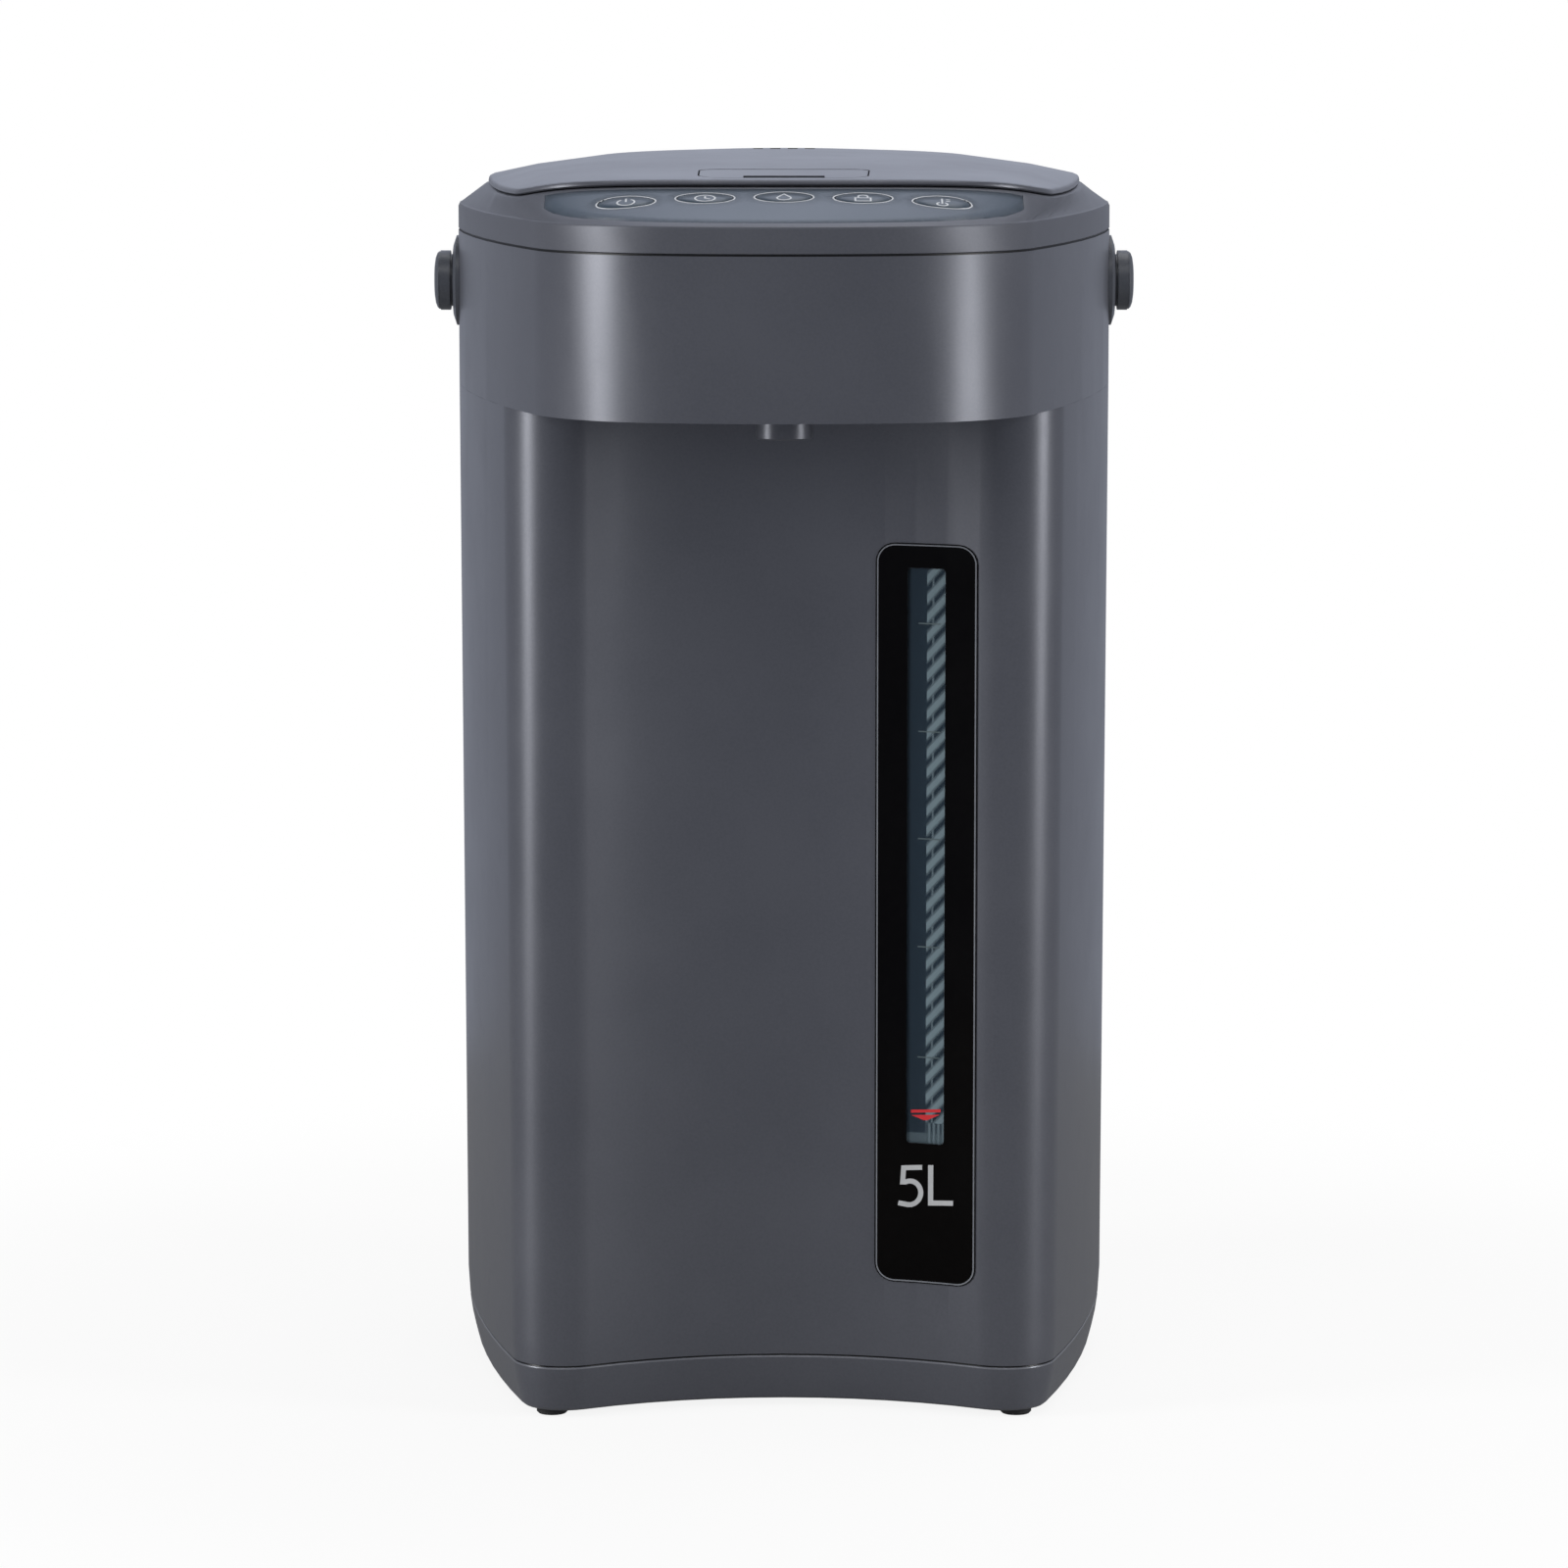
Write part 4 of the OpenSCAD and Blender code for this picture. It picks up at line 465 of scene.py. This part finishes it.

# The tube and the lens magnify the strip behind them, so its stripes are laid into both as well. They
# fill the half beyond strip_middle, with a painted highlight for the tube's gleam down their left part;
# below lines_below they give way to upright lines, and below band_below the strip's bare foot shows.
stripe_pitch = 0.0060
stripe_rise = 1.15
strip_middle = 0.0440
gleam_middle = 0.0459
gleam_half = 0.00028
gleam_level = 0.55
lines_below = 0.0925
line_pitch = 0.0014
line_swing = 0.25
line_level = 0.40
band_below = 0.0892
band_level = 0.38
for coat, spot, layer, pale, deep in ((tree, place, bsdf, "#c3d0d6", "#24333f"),
                                      (glass_tree, glass_place, glass_bsdf, "#a4b2bb", "#2f4050"),
                                      (lens_tree, lens_place, lens_bsdf, "#83969f", "#2b3945")):
    across, along, height = add(coat, "ShaderNodeSeparateXYZ", links={0: spot}).outputs
    slant = add(coat, "ShaderNodeMath", {1: -stripe_rise}, {0: across, 2: height},
                operation="MULTIPLY_ADD")
    wave = add(coat, "ShaderNodeMath", {1: 2 * math.pi / stripe_pitch}, {0: slant.outputs[0]},
               operation="MULTIPLY")
    wave = add(coat, "ShaderNodeMath", links={0: wave.outputs[0]}, operation="SINE")
    fine = add(coat, "ShaderNodeMath", {1: 2 * math.pi / line_pitch}, {0: across},
               operation="MULTIPLY")
    fine = add(coat, "ShaderNodeMath", links={0: fine.outputs[0]}, operation="SINE")
    fine = add(coat, "ShaderNodeMath", {1: line_swing, 2: line_level}, {0: fine.outputs[0]},
               operation="MULTIPLY_ADD")
    low = add(coat, "ShaderNodeMath", {1: lines_below}, {0: height}, operation="LESS_THAN")
    wave = add(coat, "ShaderNodeMath", {1: 0.5, 2: 0.55}, {0: wave.outputs[0]},
               operation="MULTIPLY_ADD")
    # A pale line at gleam_middle: a painted highlight of the tube's gleam.
    gleam = add(coat, "ShaderNodeMath", {1: gleam_middle, 2: gleam_half}, {0: across},
                operation="COMPARE")
    gleam = add(coat, "ShaderNodeMath", {1: gleam_level}, {0: gleam.outputs[0]}, operation="MULTIPLY")
    wave = add(coat, "ShaderNodeMath", links={0: wave.outputs[0], 1: gleam.outputs[0]},
               operation="MAXIMUM")
    bars = add(coat, "ShaderNodeMix", links={0: low.outputs[0], 2: wave.outputs[0], 3: fine.outputs[0]},
               data_type="FLOAT")
    half = add(coat, "ShaderNodeMath", {1: strip_middle}, {0: across}, operation="GREATER_THAN")
    bars = add(coat, "ShaderNodeMath", links={0: bars.outputs[0], 1: half.outputs[0]},
               operation="MULTIPLY")
    band = add(coat, "ShaderNodeMath", {1: band_below}, {0: height}, operation="LESS_THAN")
    band = add(coat, "ShaderNodeMath", {1: band_level}, {0: band.outputs[0]}, operation="MULTIPLY")
    bars = add(coat, "ShaderNodeMath", links={0: bars.outputs[0], 1: band.outputs[0]},
               operation="MAXIMUM")
    stripes = add(coat, "ShaderNodeValToRGB", links={0: bars.outputs[0]},
                  stops=[(0.0, deep), (0.10, deep), (0.90, pale)])
    coat.links.new(stripes.outputs[0], layer.inputs["Base Color"])
# The strip is printed polystyrene, matt with a fine orange peel.
peel_pitch = 0.5
matt = add(tree, "ShaderNodeTexNoise", {"Scale": per_mm(peel_pitch), "Detail": 2.0}, {"Vector": place})
dull = add(tree, "ShaderNodeValToRGB", links={0: matt.outputs[0]}, stops=[(0.3, 0.42), (0.7, 0.58)])
bump = add(tree, "ShaderNodeBump", {"Distance": 0.00002}, {"Height": matt.outputs[0]})
tree.links.new(dull.outputs[0], bsdf.inputs["Roughness"])
tree.links.new(bump.outputs[0], bsdf.inputs["Normal"])
dress("scale_strip", strip)
# Drawn glass: very smooth, with slow waves along the tube.
grained(glass_tree, glass_place, glass_bsdf, 12.0, 0.0002, None, (0.07, 0.10), 30, 0.0)
dress("sight_tube", glass)


def stroke(art, path, width):
    """A grid one cell wide, bent along a path in mm with mitred corners."""
    steps = len(path) - 1
    points = [Vector((x, y, 0.0)) for x, y in path]
    legs = [end - start for start, end in zip(points, points[1:])]
    shut = (points[0] - points[-1]).length < 1e-6
    cells = bmesh.ops.create_grid(art, x_segments=steps, y_segments=1, size=0.5)["verts"]
    for v in cells:
        i = round((v.co.x + 0.5) * steps)
        before = legs[i - 1] if i or shut else legs[0]
        after = legs[i] if i < steps else (legs[0] if shut else before)
        before, after = before.normalized(), after.normalized()
        along = (before + after).normalized()
        reach = width / 2 / max(0.35, along.dot(before))
        side = Vector((-along.y, along.x, 0.0)) * (reach if v.co.y > 0 else -reach)
        v.co = points[i] + side
    if shut:
        bmesh.ops.remove_doubles(art, verts=cells, dist=1e-4)


def arc_path(at, size, start, end, steps=24):
    turn = [math.radians(start + (end - start) * i / steps) for i in range(steps + 1)]
    return [(at[0] + size[0] * math.cos(a), at[1] + size[1] * math.sin(a)) for a in turn]


def ring_path(at, size, steps):
    path = arc_path(at, size, 0, 360, steps)
    return path[:-1] + path[:1]


print_proud = 0.04
print_sunk = 0.03
print_cut = 2.0


def printed(name, art, view, carrier, body, ink):
    """Cuts flat artwork in mm up so finely that it can follow a curve, lets it down on the piece that
    carries it, seen from the front or the top, and gives it the thickness of a print."""
    bmesh.ops.scale(art, vec=(0.001, 0.001, 0.001), verts=art.verts)
    for axis in (0, 1):
        reach = [v.co[axis] for v in art.verts]
        across = Vector((1, 0, 0) if axis == 0 else (0, 1, 0))
        first = math.floor(min(reach) / print_cut * 1000) + 1
        for k in range(first, math.ceil(max(reach) / print_cut * 1000)):
            bmesh.ops.bisect_plane(art, geom=art.verts[:] + art.edges[:] + art.faces[:], dist=1e-7,
                                   plane_co=across * (k * print_cut / 1000), plane_no=across)
    bmesh.ops.triangulate(art, faces=art.faces[:])
    mesh = node[carrier].data
    skin = BVHTree.FromPolygons([v.co[:] for v in mesh.vertices], [p.vertices[:] for p in mesh.polygons])
    way = Vector((0, 0, -1) if view == "top" else (0, 1, 0))
    for v in art.verts:
        start = Vector((v.co.x, v.co.y, 0.5) if view == "top" else (v.co.x, -0.5, v.co.y))
        hit = skin.ray_cast(start, way)[0]
        # A point that slips between two faces takes the height of the nearest one.
        if hit is None:
            level = skin.find_nearest(Vector((v.co.x, v.co.y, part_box(carrier)[1][2])))[0].z
            hit = Vector((v.co.x, v.co.y, level))
        v.co = hit - way * print_proud / 1000
    depth = bmesh.ops.extrude_face_region(art, geom=art.faces[:])["geom"]
    bmesh.ops.translate(art, vec=way * (print_proud + print_sunk) / 1000,
                        verts=[v for v in depth if isinstance(v, bmesh.types.BMVert)])
    bmesh.ops.recalc_face_normals(art, faces=art.faces[:])
    made = bpy.data.meshes.new(name)
    art.to_mesh(made)
    art.free()
    made.materials.append(ink)
    piece = bpy.data.objects.new(name, made)
    bpy.context.scene.collection.objects.link(piece)
    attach(piece, body)


# Screen inks: flat colours, a little uneven, with the soft gloss of a thin dried film.
pale_ink, tree, place, bsdf = surface("pale grey screen ink", "#b2b4b6", 0.5)
grained(tree, place, bsdf, 0.3, 0.003, ("#acaeb0", "#b8babc"), (0.44, 0.56), 6)
tick_ink, tree, place, bsdf = surface("thin grey green screen ink", "#435256", 0.5)
grained(tree, place, bsdf, 0.3, 0.003, ("#3f4e52", "#48575b"), (0.44, 0.56), 6)
red_ink, tree, place, bsdf = surface("red screen ink", "#cb1722", 0.45)
grained(tree, place, bsdf, 0.3, 0.003, ("#c0131d", "#d51b27"), (0.4, 0.52), 6)

# The face is hollow, so level artwork would look as if it dropped to the right; it is printed on a
# slight rise that takes half of that away. All artwork is in mm.
slot_middle = 44.0
rise_per_mm = 0.085


def lean_up(art):
    for v in art.verts:
        v.co.y += rise_per_mm * (v.co.x - slot_middle)


figure_line = 1.55
letter_line = 1.6
art = bmesh.new()
bowl = arc_path((39.14, 70.5), (3.43, 3.75), 112, -100, 22)
stroke(art, [(42.98, 78.5), (37.27, 78.5), (36.95, 74.0)] + bowl + [(35.6, 67.45)], figure_line)
stroke(art, [(45.6, 79.2), (45.6, 67.2), (52.5, 67.1)], letter_line)
lean_up(art)
printed("capacity_print", art, "front", "gauge_window", "body", pale_ink)

# A thin pale line round the window's front, set in from its edge: a painted highlight where that edge
# catches the light.
window_r = 5.9
window_flange = 2.5
rim_highlight_in = 0.55
rim_highlight_line = 0.40
rim_highlight_size = (window_r - rim_highlight_in, window_r - rim_highlight_in)
inset = window_flange + window_r
(left, _, foot), (right, _, head) = [[v * 1000 for v in corner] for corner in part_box("gauge_window")]
rim_highlight_path = []
for middle, start in (((right - inset, head - inset), 0), ((left + inset, head - inset), 90),
                      ((left + inset, foot + inset), 180), ((right - inset, foot + inset), 270)):
    rim_highlight_path += arc_path(middle, rim_highlight_size, start, start + 90, 10)
art = bmesh.new()
stroke(art, rim_highlight_path + rim_highlight_path[:1], rim_highlight_line)
printed("window_rim_highlight", art, "front", "gauge_window", "body", acrylic_edge_highlight)

tick_left = 41.4
tick_right = 48.1
tick_line = 0.40
art = bmesh.new()
for level in (113.1, 147.8, 181.6, 215.0, 248.5):
    stroke(art, [(tick_left, level), (tick_right, level)], tick_line)
printed("litre_ticks", art, "front", "gauge_lens", "body", tick_ink)

# The refill mark is a bar over a flat triangle that points down to the least level.
bar_line = 0.95
triangle_wide = 8.8
triangle_top = 95.0
triangle_foot = 93.3
triangle_tip = 0.12
art = bmesh.new()
stroke(art, [(39.5, 96.2), (48.6, 96.2)], bar_line)
stroke(art, [(slot_middle, triangle_foot), (slot_middle, triangle_top)], triangle_wide)
for v in art.verts:
    if v.co.y < triangle_foot + 0.2:
        v.co.x = slot_middle + triangle_tip * (v.co.x - slot_middle)
lean_up(art)
printed("refill_mark", art, "front", "gauge_lens", "body", red_ink)

# ---- Top ring ----
# The ring closes the body and carries the deck: the shell's lacquer over a coarser moulded texture, so it
# is more matt. The deck's twisted faces are evened out where they would show as streaks.
deck_from = 0.3745
deck_even = 0.004
coarser_by = 0.09
ring_coat = lacquer.copy()
ring_coat.name = "flake lacquer on the ring"
tree = ring_coat.node_tree
place = add(tree, "ShaderNodeTexCoord").outputs["Object"]
even = add(tree, "ShaderNodeBevel", {"Radius": deck_even}, samples=8)
height = add(tree, "ShaderNodeSeparateXYZ", links={0: place}).outputs[2]
deck = add(tree, "ShaderNodeMath", {1: deck_from}, {0: height}, operation="GREATER_THAN")
flat = add(tree, "ShaderNodeNewGeometry").outputs["Normal"]
turned = add(tree, "ShaderNodeMix", links={0: deck.outputs[0], 4: flat, 5: even.outputs[0]},
             data_type="VECTOR")
for made in tree.nodes:
    if made.type == "BUMP":
        tree.links.new(turned.outputs[1], made.inputs["Normal"])
    if made.type == "BSDF_PRINCIPLED":
        satin = add(tree, "ShaderNodeMath", {1: coarser_by},
                    {0: made.inputs["Roughness"].links[0].from_socket})
        tree.links.new(satin.outputs[0], made.inputs["Roughness"])
dress("top_ring", ring_coat, 0.3, edge_highlight=lacquer_edge_highlight)

# ---- Control panel and keys ----
# The panel is a hard-coated film over the deck with five oval keys moulded behind it, glossier and
# bluer than the lacquer. The film has a printed outline round every key, the keys a plain symbol.
film_even = 0.006
film, tree, place, bsdf = surface("hard coated panel film", "#3c4a58", 0.30, Specular_IOR_Level=0.35)
grained(tree, place, bsdf, 1.0, 0.001, ("#3b4855", "#3f4c59"), (0.28, 0.32), 30, 0.0)
even = add(tree, "ShaderNodeBevel", {"Radius": film_even}, samples=8)
for made in tree.nodes:
    if made.type == "BUMP":
        tree.links.new(even.outputs[0], made.inputs["Normal"])
dress("control_panel key_far_left key_left key_middle key_right key_far_right", film)

# Each key's middle, seen from above, and the lines of its symbol round that middle: on and off, timer,
# water, lock and heat.
symbols = {
    "key_far_left": ((-47.2, -123.2),
                     [arc_path((0, -0.2), (2.6, 2.9), 125, 415, 28), [(0, 0.2), (0, 3.4)]]),
    "key_left": ((-23.6, -120.8),
                 [ring_path((0, 0), (3.0, 3.3), 32), [(0, 2.1), (0, 0), (1.5, -0.9)]]),
    "key_middle": ((0.0, -119.95),
                   [[(0, 3.6), (1.3, 1.2)] + arc_path((0, -0.9), (2.1, 2.2), 35, -215, 20) +
                    [(-1.3, 1.2), (0, 3.6)]]),
    "key_right": ((23.6, -120.8),
                  [[(-2.3, 0.3), (2.3, 0.3), (2.3, -3.2), (-2.3, -3.2), (-2.3, 0.3)],
                   [(-1.4, 0.55), (-1.4, 1.4)] + arc_path((0, 1.9), (1.4, 1.5), 180, 0, 14) +
                   [(1.4, 1.4), (1.4, 0.55)]]),
    "key_far_right": ((47.2, -123.2),
                      [arc_path((0, -2.1), (1.6, 1.6), 120, 420, 20), [(0, -1.6), (0, 3.4)],
                       [(1.2, 2.6), (2.4, 2.6)], [(1.2, 1.0), (2.4, 1.0)]]),
}
symbol_line = 0.55
outline_line = 0.45
outline_size = (8.9, 5.97)
white_ink, tree, place, bsdf = surface("white screen ink", "#d2d5d9", 0.45)
grained(tree, place, bsdf, 0.3, 0.003, ("#cccfd3", "#d8dbdf"), (0.4, 0.5), 6)
art = bmesh.new()
for centre, shapes in symbols.values():
    stroke(art, ring_path(centre, outline_size, 72), outline_line)
printed("key_outlines", art, "top", "control_panel", "body", white_ink)
for key, (centre, shapes) in symbols.items():
    art = bmesh.new()
    for path in shapes:
        stroke(art, path, symbol_line)
    bmesh.ops.translate(art, vec=(centre[0], centre[1], 0), verts=art.verts)
    printed(key + "_print", art, "top", key, key, white_ink)

# ---- Lid ----
# The lid's cover and lever are lacquered ABS, screwed to a grey polypropylene underside; the latch that
# the lever draws back is black acetal.
dress("lid_cover lid_lever", lacquer, 0.3, edge_highlight=lacquer_edge_highlight)
# Plain moulded plastic: a soft waxy grey.
underside, tree, place, bsdf = surface("grey polypropylene", "#8b8d91", 0.5)
grained(tree, place, bsdf, 0.8, 0.03, ("#83858a", "#96989c"), (0.44, 0.58), 20)
dress("lid_base", underside, 0.3)
# Acetal: slippery and nearly black, a little polished where it slides.
acetal, tree, place, bsdf = surface("black acetal", "#2c2d30", 0.4)
grained(tree, place, bsdf, 0.5, 0.015, ("#26272a", "#37383c"), (0.34, 0.48), 8)
dress("lid_latch", acetal, 0.15)

# ---- Carry handle ----
# The bail, its pivot caps and the escutcheons are ABS in a darker slate, with a fine spark-eroded
# texture that takes the shine off; the caps clip over the pivot pins.
dark, tree, place, bsdf = surface("textured slate ABS", "#484b52", 0.40)
grained(tree, place, bsdf, 0.6, 0.012, ("#45484f", "#4d5057"), (0.36, 0.45), 18)
dress("handle_escutcheons carry_handle pivot_caps", dark, 0.4)
